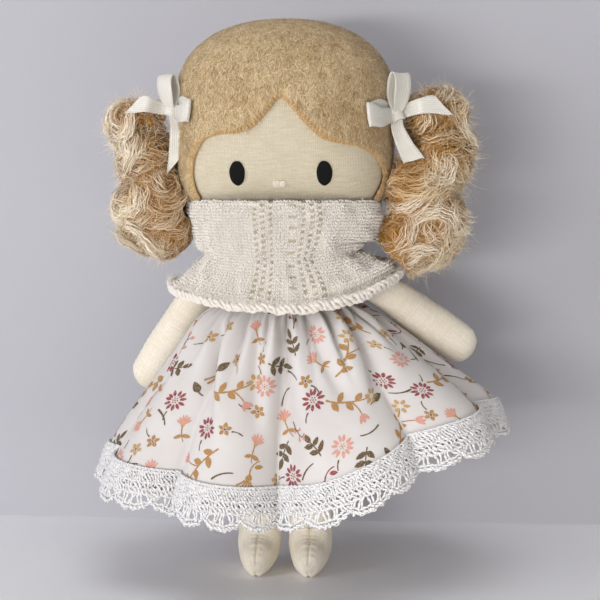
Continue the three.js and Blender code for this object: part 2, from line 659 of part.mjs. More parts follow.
// Half a scallop: outline and openings, across in shares of a station and down in millimetres.
function laceCell(mirror) {
  const at = (across, down) => new THREE.Vector2(mirror ? 1 - across : across, down);
  const order = (list) => (mirror ? list.reverse() : list);
  const outline = order([
    at(0, 0),
    at(1, 0),
    at(1, LACE_DEPTH),
    at(0.5, mix(LACE_NOTCH, LACE_DEPTH, 0.75)),
    at(0, LACE_NOTCH),
  ]);
  const eyelet = order([
    at(0.22, LACE_EYELET_TOP),
    at(0.78, LACE_EYELET_TOP),
    at(0.78, LACE_EYELET_BOTTOM),
    at(0.22, LACE_EYELET_BOTTOM),
  ]);
  const mesh = order([at(0.16, LACE_MESH_BOTTOM), at(0.84, LACE_MESH_TOP), at(0.84, LACE_MESH_BOTTOM)]);
  return { outline, holes: [eyelet, mesh].map((hole) => hole.reverse()) };
}

// The whole trim, from the seam at the middle of the back round to the same seam.
function makeLace() {
  const points = [];
  const triangles = [];
  const keep = (place, down, layer) => {
    points.push(lacePoint(place, down, layer));
    return points.length - 1;
  };
  const wall = (cell, edge) => {
    const [a, b] = edge;
    const front = [keep(cell + a.x, a.y, 1), keep(cell + b.x, b.y, 1)];
    const behind = [keep(cell + a.x, a.y, 0), keep(cell + b.x, b.y, 0)];
    triangles.push([front[1], front[0], behind[0]], [front[1], behind[0], behind[1]]);
  };
  const backSeam = STATIONS / 4;
  for (let i = 0; i < STATIONS; i++) {
    const { outline, holes } = laceCell(i % 2 === 1);
    const last = i === STATIONS - 1;
    const squeeze = (p) => new THREE.Vector2(last ? p.x * 0.94 : p.x, p.y);
    const loops = [outline, ...holes].map((loop) => loop.map(squeeze));
    const faces = THREE.ShapeUtils.triangulateShape(loops[0], loops.slice(1));
    const flat = loops.flat();
    for (const layer of [0, 1]) {
      const kept = flat.map((p) => keep(backSeam + i + p.x, p.y, layer));
      for (const [a, b, c] of faces) {
        triangles.push(layer ? [kept[a], kept[b], kept[c]] : [kept[a], kept[c], kept[b]]);
      }
    }
    for (const loop of loops) {
      loop.forEach((a, k) => {
        const b = loop[(k + 1) % loop.length];
        const shared = loop === loops[0] && a.x === b.x && !(i === 0 && a.x === 0) && !(last && a.x > 0);
        if (!shared) wall(backSeam + i, [a, b]);
      });
    }
  }
  return mergeVertices(geometryFrom(points, triangles), 1e-4);
}

// Lobes of a bunch: [out from the root, below the root, half width, half height, share of the depth].
const rightLobes = [
  [9, 3.5, 9, 7.6, 0.8],
  [5.5, 16, 8.8, 10.6, 0.96],
  [2.5, 29.5, 9.6, 12, 1],
  [6, 34, 9.2, 10.6, 0.9],
  [-1, 39.5, 9, 9.6, 0.86],
];
const leftLobes = [
  [9, 2, 10.4, 9.2, 0.82],
  [11, 15, 10.6, 10.6, 0.97],
  [3.5, 26, 11.5, 13.5, 1],
  [0, 41, 10, 11, 0.9],
  [7.5, 36, 10.8, 13, 0.9],
];
const hairOut = HEAD_HALF_WIDTH + feltGrow;
const bunchOut = hairOut + CLEARANCE + BUNCH_ROOT_RADIUS;

// The tuft's own neck: a root pad, a waist under the tie, and a flare into the lobes.
function bunchNeck() {
  const [pad, waist] = [BUNCH_ROOT_RADIUS, BUNCH_NECK_RADIUS];
  const profile = [
    [0, -pad],
    [pad * 0.55, -pad * 0.82],
    [pad * 0.8, -pad * 0.52],
    [pad * 0.72, -pad * 0.3],
    [waist, -BUNCH_TIE_THREAD - 0.1],
    [waist, BUNCH_TIE_THREAD + 0.1],
    [pad * 0.8, pad * 0.45],
    [pad * 1.05, pad],
    [pad * 1.1, pad * 2],
    [0, pad * 2.2],
  ];
  return new THREE.LatheGeometry(profile.map(([r, u]) => new THREE.Vector2(r, u)), 16);
}

function makeBunch(side, lobes) {
  const neck = bunchNeck().rotateZ((-side * Math.PI) / 2).translate(side * bunchOut, 0, BUNCH_ROOT_HEIGHT);
  let bunch = solidOf(neck);
  for (const [out, below, halfWidth, halfHeight, depthShare] of lobes) {
    const lobe = new THREE.IcosahedronGeometry(1, 2)
      .scale(halfWidth, BUNCH_HALF_DEPTH * depthShare, halfHeight)
      .translate(side * (bunchOut + out), 0, BUNCH_ROOT_HEIGHT - below);
    const reach = solidOf(tieRing(side, CLEARANCE));
    bunch = bunch.add(solidOf(lobe).subtract(reach));
  }
  const cowlSolid = solidOf(loft(cowlRows.map((row) => cowlRing(row, -CLEARANCE))));
  bunch = bunch.subtract(solidOf(headSkin(feltGrow + CLEARANCE))).subtract(cowlSolid);
  return geometryOf(mainPiece(bunch));
}

// The thread wound round the root of a bunch.
function tieRing(side, grow = 0) {
  const radius = BUNCH_NECK_RADIUS + CLEARANCE + BUNCH_TIE_THREAD;
  return new THREE.TorusGeometry(radius, BUNCH_TIE_THREAD + grow, 6, 20)
    .rotateY(Math.PI / 2)
    .translate(side * bunchOut, 0, BUNCH_ROOT_HEIGHT);
}

// Where the knot is sewn on: the felt's curve just inside the knot.
const knotBed = headFront(BOW_OUT - BOW_KNOT_RADIUS * 0.7, BOW_HEIGHT, feltGrow);

// How far forward the felt or the bunch lies under a ribbon, at a distance out from the middle.
function ribbonBed(out, z) {
  const bunch = -BUNCH_HALF_DEPTH * smooth(out, BOW_OUT, BOW_OUT + RIBBON_WIDTH);
  return Math.min(headFront(out, z, feltGrow), knotBed, bunch);
}

// A ribbon through places given as [x, lift, z, width turn in degrees], laid on the felt and the bunch.
function ribbon(side, places) {
  const centre = places.map(([x, lift, z]) => {
    const beds = [-0.5, 0, 0.5].map((share) => ribbonBed(BOW_OUT + x + share * RIBBON_WIDTH, BOW_HEIGHT + z));
    return point(side * (BOW_OUT + x), Math.min(...beds) - CLEARANCE - RIBBON_THICKNESS / 2 - lift, BOW_HEIGHT + z);
  });
  const rings = centre.map((p, k) => {
    const before = centre[Math.max(0, k - 1)];
    const after = centre[Math.min(centre.length - 1, k + 1)];
    const tangent = after.clone().sub(before).normalize();
    const turn = radians(places[k][3]);
    const wide = point(side * Math.cos(turn), places[k][4] ?? 0, Math.sin(turn));
    wide.addScaledVector(tangent, -wide.dot(tangent)).normalize();
    const normal = tangent.clone().cross(wide).multiplyScalar(RIBBON_THICKNESS / 2);
    wide.multiplyScalar(((places[k][5] ?? 1) * RIBBON_WIDTH) / 2);
    return [
      p.clone().add(wide).add(normal),
      p.clone().sub(wide).add(normal),
      p.clone().sub(wide).sub(normal),
      p.clone().add(wide).sub(normal),
    ];
  });
  return solidOf(loft(rings));
}

// A ribbon loop: out from the knot along a direction, over, and back above itself.
function loop(side, degrees, length, rise, spread, slant = 0) {
  const direction = radians(degrees);
  const places = [];
  const steps = 12;
  for (let k = 0; k <= steps; k++) {
    const angle = (k / steps) * 2 * Math.PI;
    const along = (length * (1 - Math.cos(angle))) / 2;
    const across = spread * Math.sin(angle) * Math.sin(angle / 2);
    const pinch = mix(0.55, 1, Math.sin(angle / 2));
    places.push([
      along * Math.cos(direction) - across * Math.sin(direction),
      rise * (0.5 - 0.5 * Math.cos(angle / 2) ** 1) + 0.1,
      along * Math.sin(direction) + across * Math.cos(direction),
      degrees + 90,
      slant,
      pinch,
    ]);
  }
  return ribbon(side, places);
}

// A ribbon tail that hangs from the knot in a direction, with a slight curl.
function tail(side, degrees, length, curl) {
  const direction = radians(degrees);
  const places = [];
  const steps = 6;
  for (let k = 0; k <= steps; k++) {
    const share = k / steps;
    const along = length * share;
    const bend = curl * share * share;
    places.push([
      along * Math.cos(direction) - bend * Math.sin(direction),
      1.1 * (1 - share) + 0.5 * Math.sin(share * 5),
      along * Math.sin(direction) + bend * Math.cos(direction),
      degrees + 90,
      0,
      mix(0.6, 1, smooth(share, 0, 0.4)),
    ]);
  }
  return ribbon(side, places);
}

// A tied bow: two loops, two tails and the knot, all one ribbon.
function makeBow(side, { upLoop, sideLoop, outTail, downTail }) {
  const knotDepth = BOW_KNOT_RADIUS * 0.6;
  const knot = new THREE.SphereGeometry(BOW_KNOT_RADIUS, 12, 8)
    .scale(0.9, 0.6, 1.1)
    .translate(side * BOW_OUT, knotBed - CLEARANCE - knotDepth, BOW_HEIGHT);
  const pieces = [loop(side, ...upLoop), loop(side, ...sideLoop), tail(side, ...outTail), tail(side, ...downTail)];
  return geometryOf(mainPiece(pieces.reduce((sum, piece) => sum.add(piece), solidOf(knot))));
}

const leftBow = {
  upLoop: [86, 12.6, 4.5, 2.4, -0.5],
  sideLoop: [196, 9.6, 4.2, 1.2, 0],
  outTail: [-4, 18.5, 1.5],
  downTail: [-70, 16.5, -1],
};
const rightBow = {
  upLoop: [60, 9.6, 4, 2, -0.4],
  sideLoop: [196, 6.6, 4.4, 1.2, 0],
  outTail: [-6, 15.5, 2],
  downTail: [-74, 19, 1],
};

const doll = new THREE.Group();
doll.add(
  named("torso", makeTorso(), LINEN),
  named("head", makeHead(), LINEN),
  named("hair_front", makeHair(true), FELT),
  named("hair_back", makeHair(false), FELT),
  named("right_eye", facePatch(-EYE_SPACING / 2, EYE_HEIGHT, EYE_WIDTH, EYE_TALL, EYE_THICKNESS, 0), BLACK_FELT),
  named("left_eye", facePatch(EYE_SPACING / 2, EYE_HEIGHT, EYE_WIDTH, EYE_TALL, EYE_THICKNESS, 0), BLACK_FELT),
  named("nose", facePatch(0, NOSE_HEIGHT, NOSE_WIDTH, NOSE_TALL, NOSE_THICKNESS, 0.35), CREAM_FLOSS),
  named("cowl", makeCowl(), KNIT),
  named("waist_casing", makeCasing(), COTTON),
  named("waist_elastic", makeElastic(), ELASTIC),
  named("skirt_panel", makePanel(), COTTON),
  named("lace_trim", makeLace(), LACE),
  named("right_bunch", makeBunch(-1, rightLobes), MOHAIR),
  named("left_bunch", makeBunch(1, leftLobes), MOHAIR),
  named("right_bunch_tie", tieRing(-1), THREAD),
  named("left_bunch_tie", tieRing(1), THREAD),
  named("right_bow", makeBow(-1, rightBow), SATIN),
  named("left_bow", makeBow(1, leftBow), SATIN),
  named("right_leg", makeLeg(-1), LINEN),
  named("left_leg", makeLeg(1), LINEN),
);
for (const arm of arms) doll.add(named(arm.name, armGeometry(arm), LINEN));

// The frame's origin is on the floor, under the middle of the dressed doll.
const extent = new THREE.Box3().setFromObject(doll);
doll.position.set(-(extent.min.x + extent.max.x) / 2, -(extent.min.y + extent.max.y) / 2, 0);

const root = new THREE.Group();
root.add(doll);

export default root;
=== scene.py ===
"""Blender scene of a hand-sewn linen rag doll.

The doll has a wool-felt hair cap, two mohair bunches tied with satin bows, a knitted cowl and a
gathered cotton skirt edged with crochet lace. Shapes are worked out in millimetres in the doll's
own frame (+Z up, the doll faces -Y, its own left is +X) and placed in metres in the CAD's frame.
"""
import logging
import math
from collections.abc import Callable
from dataclasses import dataclass, field
from enum import Enum

import bpy
import numpy as np
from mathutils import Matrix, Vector


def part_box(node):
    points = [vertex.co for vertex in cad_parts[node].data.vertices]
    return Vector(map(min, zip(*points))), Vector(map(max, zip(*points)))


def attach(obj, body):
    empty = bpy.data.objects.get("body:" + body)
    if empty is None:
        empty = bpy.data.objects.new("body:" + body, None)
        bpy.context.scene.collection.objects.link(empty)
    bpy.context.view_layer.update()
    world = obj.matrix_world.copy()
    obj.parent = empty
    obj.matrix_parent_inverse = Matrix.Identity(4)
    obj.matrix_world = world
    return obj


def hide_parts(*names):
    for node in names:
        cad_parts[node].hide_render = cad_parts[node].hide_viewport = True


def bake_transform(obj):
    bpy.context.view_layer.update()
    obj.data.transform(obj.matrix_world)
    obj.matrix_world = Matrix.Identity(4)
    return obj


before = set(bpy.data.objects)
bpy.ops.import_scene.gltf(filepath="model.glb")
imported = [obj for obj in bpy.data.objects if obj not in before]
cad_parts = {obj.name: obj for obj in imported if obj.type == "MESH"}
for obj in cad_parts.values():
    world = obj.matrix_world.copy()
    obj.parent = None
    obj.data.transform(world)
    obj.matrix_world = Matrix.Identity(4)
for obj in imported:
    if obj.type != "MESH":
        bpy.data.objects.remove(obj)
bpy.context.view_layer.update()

logging.basicConfig(level=logging.INFO, format="%(message)s")
log = logging.getLogger("rag_doll")

Array = np.ndarray

MM = 0.001
UV_PER_MM = 0.1
NOISE_WAVES = 7
NOISE_SPAN = 3.6

# Head and felt cap, in millimetres.
HEAD_HALF_WIDTH = 33.8
HEAD_HALF_DEPTH = 23.5
HEAD_WIDEST_HEIGHT = 153.0
HEAD_RISE = 25.3
HEAD_DROP = 36.0
CROWN_POWER = 2.3
CHEEK_POWER = 4.5
BULGE_POWER = 2.2
GAP = 0.3
FELT_THICKNESS = 1.4
FELT_OUT = GAP + FELT_THICKNESS
NAP_STEPS = 4

# Torso and limbs.
SHOULDER_OUT = 24.8
SHOULDER_HEIGHT = 98.0
ARM_ROOT_RADIUS = 5.5
ARM_HAND_RADIUS = 6.9
ARM_LENGTH = 40.4
ARM_DEPTH_SHARE = 0.92
ARM_BACK_TILT = 13.0
RIGHT_ARM_SPREAD = 32.0
LEFT_ARM_SPREAD = 54.0
HIP_HEIGHT = 70.0
HIP_OUT = 8.5

# Skirt and lace.
WAIST_HALF_WIDTH = 17.5
WAIST_HALF_DEPTH = 12.0
WAIST_OUT = 2.9
SKIRT_TOP = 89.4
PANEL_LENGTH = 67.5
LACE_TOP = 60.5
SCALLOPS = 34
FLARE_FRONT = 19.0
FLARE_BACK = 17.0
FLARE_RIGHT = 34.0
FLARE_LEFT = 54.0
FLARE_FORWARD = 14.0
LEFT_TAKE_UP = 0.08
PUFF_ANGLE = 38.0
HEM_ANGLE = 20.0
FOLD_COUNT = 10
FOLD_DEPTH = 3.4
# Long creases of the skirt: lengths down at top and bottom, angles there in degrees, depth.
CREASES = ((8, 48, -134, -118, 2.6), (8, 60, -90, -83, 3.0), (3, 46, -106, -99, 2.4), (3, 42, -71, -62, 3.0),
           (8, 44, -36, -52, 2.6), (4, 40, -160, -150, 2.0), (5, 38, -15, -22, 2.0), (4, 44, 20, 28, 2.4),
           (6, 50, 52, 60, 2.8), (3, 46, 84, 88, 2.4), (6, 52, 118, 112, 2.8), (4, 42, 150, 143, 2.2))

# Bunches. Lobes are how far out, how far below the tie, half width, half height and share of the depth.
BUNCH_OUT = 40.0
BUNCH_HEIGHT = 151.0
BUNCH_HALF_DEPTH = 11.5
RIGHT_LOBES = ((9, 3.5, 9, 7.6, 0.8), (5.5, 16, 8.8, 10.6, 0.96), (2.5, 29.5, 9.6, 12, 1),
               (6, 34, 9.2, 10.6, 0.9), (-1, 39.5, 9, 9.6, 0.86))
LEFT_LOBES = ((9, 2, 10.4, 9.2, 0.82), (11, 15, 10.6, 10.6, 0.97), (3.5, 26, 11.5, 13.5, 1),
              (0, 41, 10, 11, 0.9), (7.5, 36, 10.8, 13, 0.9))

# Cowl. Rows are a share of its height, two rises at the shoulders, and half sizes: right, left, depth.
COWL_ROWS = ((1, 0, 0, 30.9, 30.7, 19.8), (0.9, 0, 0, 31.6, 31.4, 20.6), (0.73, 0, 0, 30.4, 31.4, 20.3),
             (0.62, 0, 0, 27.6, 24.5, 19.2), (0.5, 0.15, 0.15, 26.8, 26, 19.6),
             (0.37, 0.3, 0.35, 31.2, 33.2, 22.4), (0.2, 0.55, 0.7, 36.2, 36.8, 25),
             (0.06, 0.8, 0.9, 38.2, 38.2, 26.4), (0, 1, 1, 37.4, 37.4, 26))
COWL_BASE = 88.0
COWL_HEIGHT = 33.5
COWL_POWER = 2.25
COWL_RISE_RIGHT = 6.5
COWL_RISE_LEFT = 10.0
# Heights, and the cowl's half width there, that the hair is kept clear of.
COWL_CLEAR_HEIGHTS = (88, 91, 96, 101, 106, 110, 113, 119, 122)
COWL_CLEAR_WIDTHS = (38, 39, 38.6, 36.5, 31.5, 26.5, 27, 32.5, 31)


def doll_origin() -> Array:
    """Place of the doll's own origin in the CAD's frame.

    Returns:
        The offset in millimetres, taken from the head, which is even about the doll's axis.
    """
    low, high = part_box("head")
    return np.array([(low[0] + high[0]) / 2, (low[1] + high[1]) / 2, 0.0]) / MM


ORIGIN = doll_origin()


def linear(hex_colour: str) -> tuple[float, float, float, float]:
    """Turn an sRGB hex colour into the linear values that shaders take.

    Args:
        hex_colour: Colour such as "#F1E3C8".

    Returns:
        Red, green, blue and alpha.
    """
    digits = hex_colour.lstrip("#")
    channels = []
    for start in (0, 2, 4):
        value = int(digits[start:start + 2], 16) / 255
        channels.append(value / 12.92 if value <= 0.04045 else ((value + 0.055) / 1.055) ** 2.4)
    return (channels[0], channels[1], channels[2], 1.0)


def smooth(value: Array | float, low: float, high: float) -> Array:
    """Smoothstep of a value between two limits."""
    share = np.clip((np.asarray(value, float) - low) / (high - low), 0, 1)
    return share * share * (3 - 2 * share)


def unit(vectors: Array) -> Array:
    """Vectors at length one, safe for very short ones."""
    length = np.linalg.norm(vectors, axis=-1, keepdims=True)
    return vectors / np.maximum(length, 1e-9)


def square_to(vectors: Array, axis: Array) -> Array:
    """Unit directions of what is left of vectors when their part along a unit axis is taken off."""
    return unit(vectors - axis * (vectors * axis).sum(axis=-1, keepdims=True))


def toward(vectors: Array, aim: Array) -> Array:
    """Vectors turned about, where they point away from an aim."""
    return vectors * np.sign((vectors * aim).sum(axis=-1, keepdims=True))


def bell(value: Array, width: float | Array) -> Array:
    """A smooth bump of height one round zero."""
    return np.exp(-(value / width) ** 2)


def circle(count: int) -> Array:
    """Even angles once round, without the last that would meet the first."""
    return np.arange(count) * (2 * math.pi / count)


def reached(points: Array) -> Array:
    """Length along a line up to each of its points, of shape (points, ...) less the last axis."""
    steps = np.linalg.norm(np.diff(points, axis=0), axis=-1)
    return np.concatenate([np.zeros_like(steps[:1]), np.cumsum(steps, axis=0)])


def halved(low: Array, high: Array, steps: int, holds: Callable[[Array], Array]) -> Array:
    """The limit up to which a test holds, between two values, found by halving the interval."""
    for _ in range(steps):
        middle = (low + high) / 2
        inside = holds(middle)
        low, high = np.where(inside, middle, low), np.where(inside, high, middle)
    return low


def placed(x: Array, y: Array, z: Array) -> Array:
    """Points from coordinates of shapes that fit each other."""
    return np.stack(np.broadcast_arrays(x, y, z), axis=-1).astype(float)


def resample(points: Array, count: int) -> Array:
    """Even points along a broken line.

    Args:
        points: Corner points, one a row.
        count: How many points to return.

    Returns:
        Points at even steps of length from the first corner to the last.
    """
    points = np.asarray(points, float)
    steps = reached(points)
    where = np.linspace(0, steps[-1], count)
    return np.stack([np.interp(where, steps, points[:, k]) for k in range(points.shape[1])], axis=1)


def spline(points: Array, count: int) -> Array:
    """A smooth Catmull-Rom curve through points, sampled evenly by length."""
    points = np.asarray(points, float)
    padded = np.vstack([2 * points[0] - points[1], points, 2 * points[-1] - points[-2]])
    share = np.linspace(0, 1, 16, endpoint=False)[:, None]
    pieces = []
    for k in range(len(points) - 1):
        a, b, c, d = padded[k:k + 4]
        pieces.append(0.5 * (2 * b + (c - a) * share + (2 * a - 5 * b + 4 * c - d) * share ** 2
                             + (3 * b - a - 3 * c + d) * share ** 3))
    return resample(np.vstack(pieces + [points[-1:]]), count)


def lattice_noise(points: Array, scale: float, seed: int) -> Array:
    """Smooth noise from -1 to 1 at points in space.

    Args:
        points: Places in millimetres, of shape (..., 3).
        scale: Size of one swell in millimetres.
        seed: Which noise.

    Returns:
        One value for each point, of shape (...).
    """
    rng = np.random.default_rng(seed)
    flat = points.reshape(-1, 3)
    total = np.zeros(len(flat))
    for _ in range(NOISE_WAVES):
        direction = unit(rng.normal(size=3))
        phase = rng.uniform(0, 2 * math.pi)
        total += np.sin(flat @ direction * (2 * math.pi / scale) * rng.uniform(0.6, 1.5) + phase)
    return (total / NOISE_SPAN).reshape(points.shape[:-1])


@dataclass
class Part:
    """Plain arrays of one mesh, in doll millimetres."""

    co: Array
    quads: Array = field(default_factory=lambda: np.zeros((0, 4), int))
    tris: Array = field(default_factory=lambda: np.zeros((0, 3), int))
    uv: Array | None = None
    tones: dict[str, Array] = field(default_factory=dict)

    @staticmethod
    def joined(parts: list["Part"]) -> "Part":
        """One part made of several, keeping their UVs and tones."""
        offset = 0
        quads, tris = [], []
        for part in parts:
            quads.append(part.quads + offset)
            tris.append(part.tris + offset)
            offset += len(part.co)
        uv = None
        if all(part.uv is not None for part in parts):
            uv = np.vstack([part.uv for part in parts])
        names = set(parts[0].tones)
        tones = {name: np.concatenate([part.tones[name] for part in parts]) for name in names}
        return Part(np.vstack([part.co for part in parts]), np.vstack(quads), np.vstack(tris), uv, tones)

    def build(self, name: str, material: bpy.types.Material) -> bpy.types.Object:
        """Make the Blender object of this part.

        Args:
            name: Name of the object.
            material: Its material.

        Returns:
            The new object, at the origin and untransformed.
        """
        mesh = bpy.data.meshes.new(name)
        co = (self.co + ORIGIN) * MM
        faces = [group for group in (self.quads, self.tris) if len(group)]
        loops = np.concatenate([group.ravel() for group in faces]).astype(np.int32)
        sizes = np.concatenate([np.full(len(group), group.shape[1]) for group in faces])
        starts = np.concatenate(([0], np.cumsum(sizes)[:-1])).astype(np.int32)
        mesh.vertices.add(len(co))
        mesh.vertices.foreach_set("co", co.astype(np.float32).ravel())
        mesh.loops.add(len(loops))
        mesh.loops.foreach_set("vertex_index", loops)
        mesh.polygons.add(len(starts))
        mesh.polygons.foreach_set("loop_start", starts)
        mesh.polygons.foreach_set("use_smooth", np.ones(len(starts), bool))
        mesh.materials.append(material)
        if self.uv is not None:
            layer = mesh.uv_layers.new(name="UVMap")
            layer.data.foreach_set("uv", self.uv[loops].astype(np.float32).ravel())
        for key, values in self.tones.items():
            attribute = mesh.attributes.new(key, "FLOAT", "POINT")
            attribute.data.foreach_set("value", values.astype(np.float32))
        mesh.update(calc_edges=True)
        obj = bpy.data.objects.new(name, mesh)
        bpy.context.scene.collection.objects.link(obj)
        log.info("%s: %d faces", name, len(starts))
        return obj


def grid_quads(rows: int, columns: int, wrap_columns: bool = False, wrap_rows: bool = False) -> Array:
    """Quads of a grid whose points are stored row by row."""
    r = np.arange(rows if wrap_rows else rows - 1)[:, None]
    c = np.arange(columns if wrap_columns else columns - 1)[None, :]
    below, beside = (r + 1) % rows, (c + 1) % columns
    quads = [r * columns + c, r * columns + beside, below * columns + beside, below * columns + c]
    return np.stack([np.broadcast_to(q, (len(r), c.shape[1])) for q in quads], axis=-1).reshape(-1, 4)


def copies(quads: Array, count: int, points: int) -> Array:
    """The quads of one grid, repeated for grids that are stored one after the other."""
    return (quads[None] + (np.arange(count) * points)[:, None, None]).reshape(-1, 4)


def grid_part(points: Array, uv: Array | None = None, **wraps: bool) -> Part:
    """A sheet through a grid of points of shape (rows, columns, 3)."""
    rows, columns = points.shape[:2]
    flat_uv = None if uv is None else uv.reshape(-1, 2)
    return Part(points.reshape(-1, 3), grid_quads(rows, columns, **wraps), uv=flat_uv)


def girths(rings: Array) -> Array:
    """Length round each ring of points."""
    return np.linalg.norm(np.diff(rings, axis=1, append=rings[:, :1]), axis=2).sum(axis=1)


def capped_tube(rings: Array) -> Part:
    """A closed skin through rings of shape (rings, around, 3), with UVs in centimetres of cloth."""
    count, around = rings.shape[:2]
    body = grid_quads(count, around, wrap_columns=True)
    ends = np.stack([rings[0].mean(axis=0), rings[-1].mean(axis=0)])
    k = np.arange(around)
    after = (k + 1) % around
    first = np.stack([np.full(around, count * around), after, k], axis=1)
    base = (count - 1) * around
    last = np.stack([np.full(around, count * around + 1), base + k, base + after], axis=1)
    along = reached(rings).mean(axis=1)
    uv = np.zeros((count, around, 2))
    half = np.abs((k / around + 0.25) % 1 - 0.5) * 2
    uv[..., 0] = half * girths(rings).max() / 2 * UV_PER_MM
    uv[..., 1] = along[:, None] * UV_PER_MM
    flat = np.vstack([uv.reshape(-1, 2), uv[0].mean(axis=0), uv[-1].mean(axis=0)])
    return Part(np.vstack([rings.reshape(-1, 3), ends]), body, np.vstack([first, last]), flat)


def tubes(paths: Array, radii: Array, sides: int = 3, closed: bool = False, facing: Array | None = None
          ) -> Part:
    """Thin tubes, or flat ribbons when ``sides`` is 2, along many paths at once.

    Args:
        paths: Points of shape (strands, steps, 3).
        radii: Radius at each point, of shape (strands, steps).
        sides: Corners of the cross-section.
        closed: Whether each path joins its own start.
        facing: Directions that flat ribbons face, in a shape that fits the paths.

    Returns:
        All the strands as one part.
    """
    strands, steps = paths.shape[:2]
    if closed:
        tangent = unit(np.roll(paths, -1, axis=1) - np.roll(paths, 1, axis=1))
    else:
        tangent = unit(np.gradient(paths, axis=1))
    reference = np.array([0.31, -0.89, 0.33]) if facing is None else facing
    normal = unit(np.cross(tangent, reference))
    other = np.cross(tangent, normal)
    angles = circle(sides)
    ring = (normal[:, :, None] * np.cos(angles)[:, None] + other[:, :, None] * np.sin(angles)[:, None])
    co = paths[:, :, None] + ring * radii[:, :, None, None]
    quads = copies(grid_quads(steps, sides, sides > 2, closed), strands, steps * sides)
    share = np.broadcast_to(np.linspace(0, 1, steps)[None, :, None], (strands, steps, sides))
    return Part(co.reshape(-1, 3), quads, tones={"along": share.reshape(-1).copy()})


def ovals(centres: Array, axes: Array, rings: int = 5, around: int = 8) -> Part:
    """Many small ellipsoids.

    Args:
        centres: Middle points of shape (count, 3).
        axes: Half-axis vectors of shape (count, 3, 3).
        rings: Steps from pole to pole.
        around: Steps round.

    Returns:
        All the ellipsoids as one part.
    """
    polar = np.linspace(0.02, math.pi - 0.02, rings)
    turn, polar = circle(around), polar[:, None]
    shape = placed(np.cos(polar), np.sin(polar) * np.cos(turn), np.sin(polar) * np.sin(turn)).reshape(-1, 3)
    co = centres[:, None] + np.einsum("pk,ckj->cpj", shape, axes)
    return Part(co.reshape(-1, 3), copies(grid_quads(rings, around, True), len(centres), rings * around))


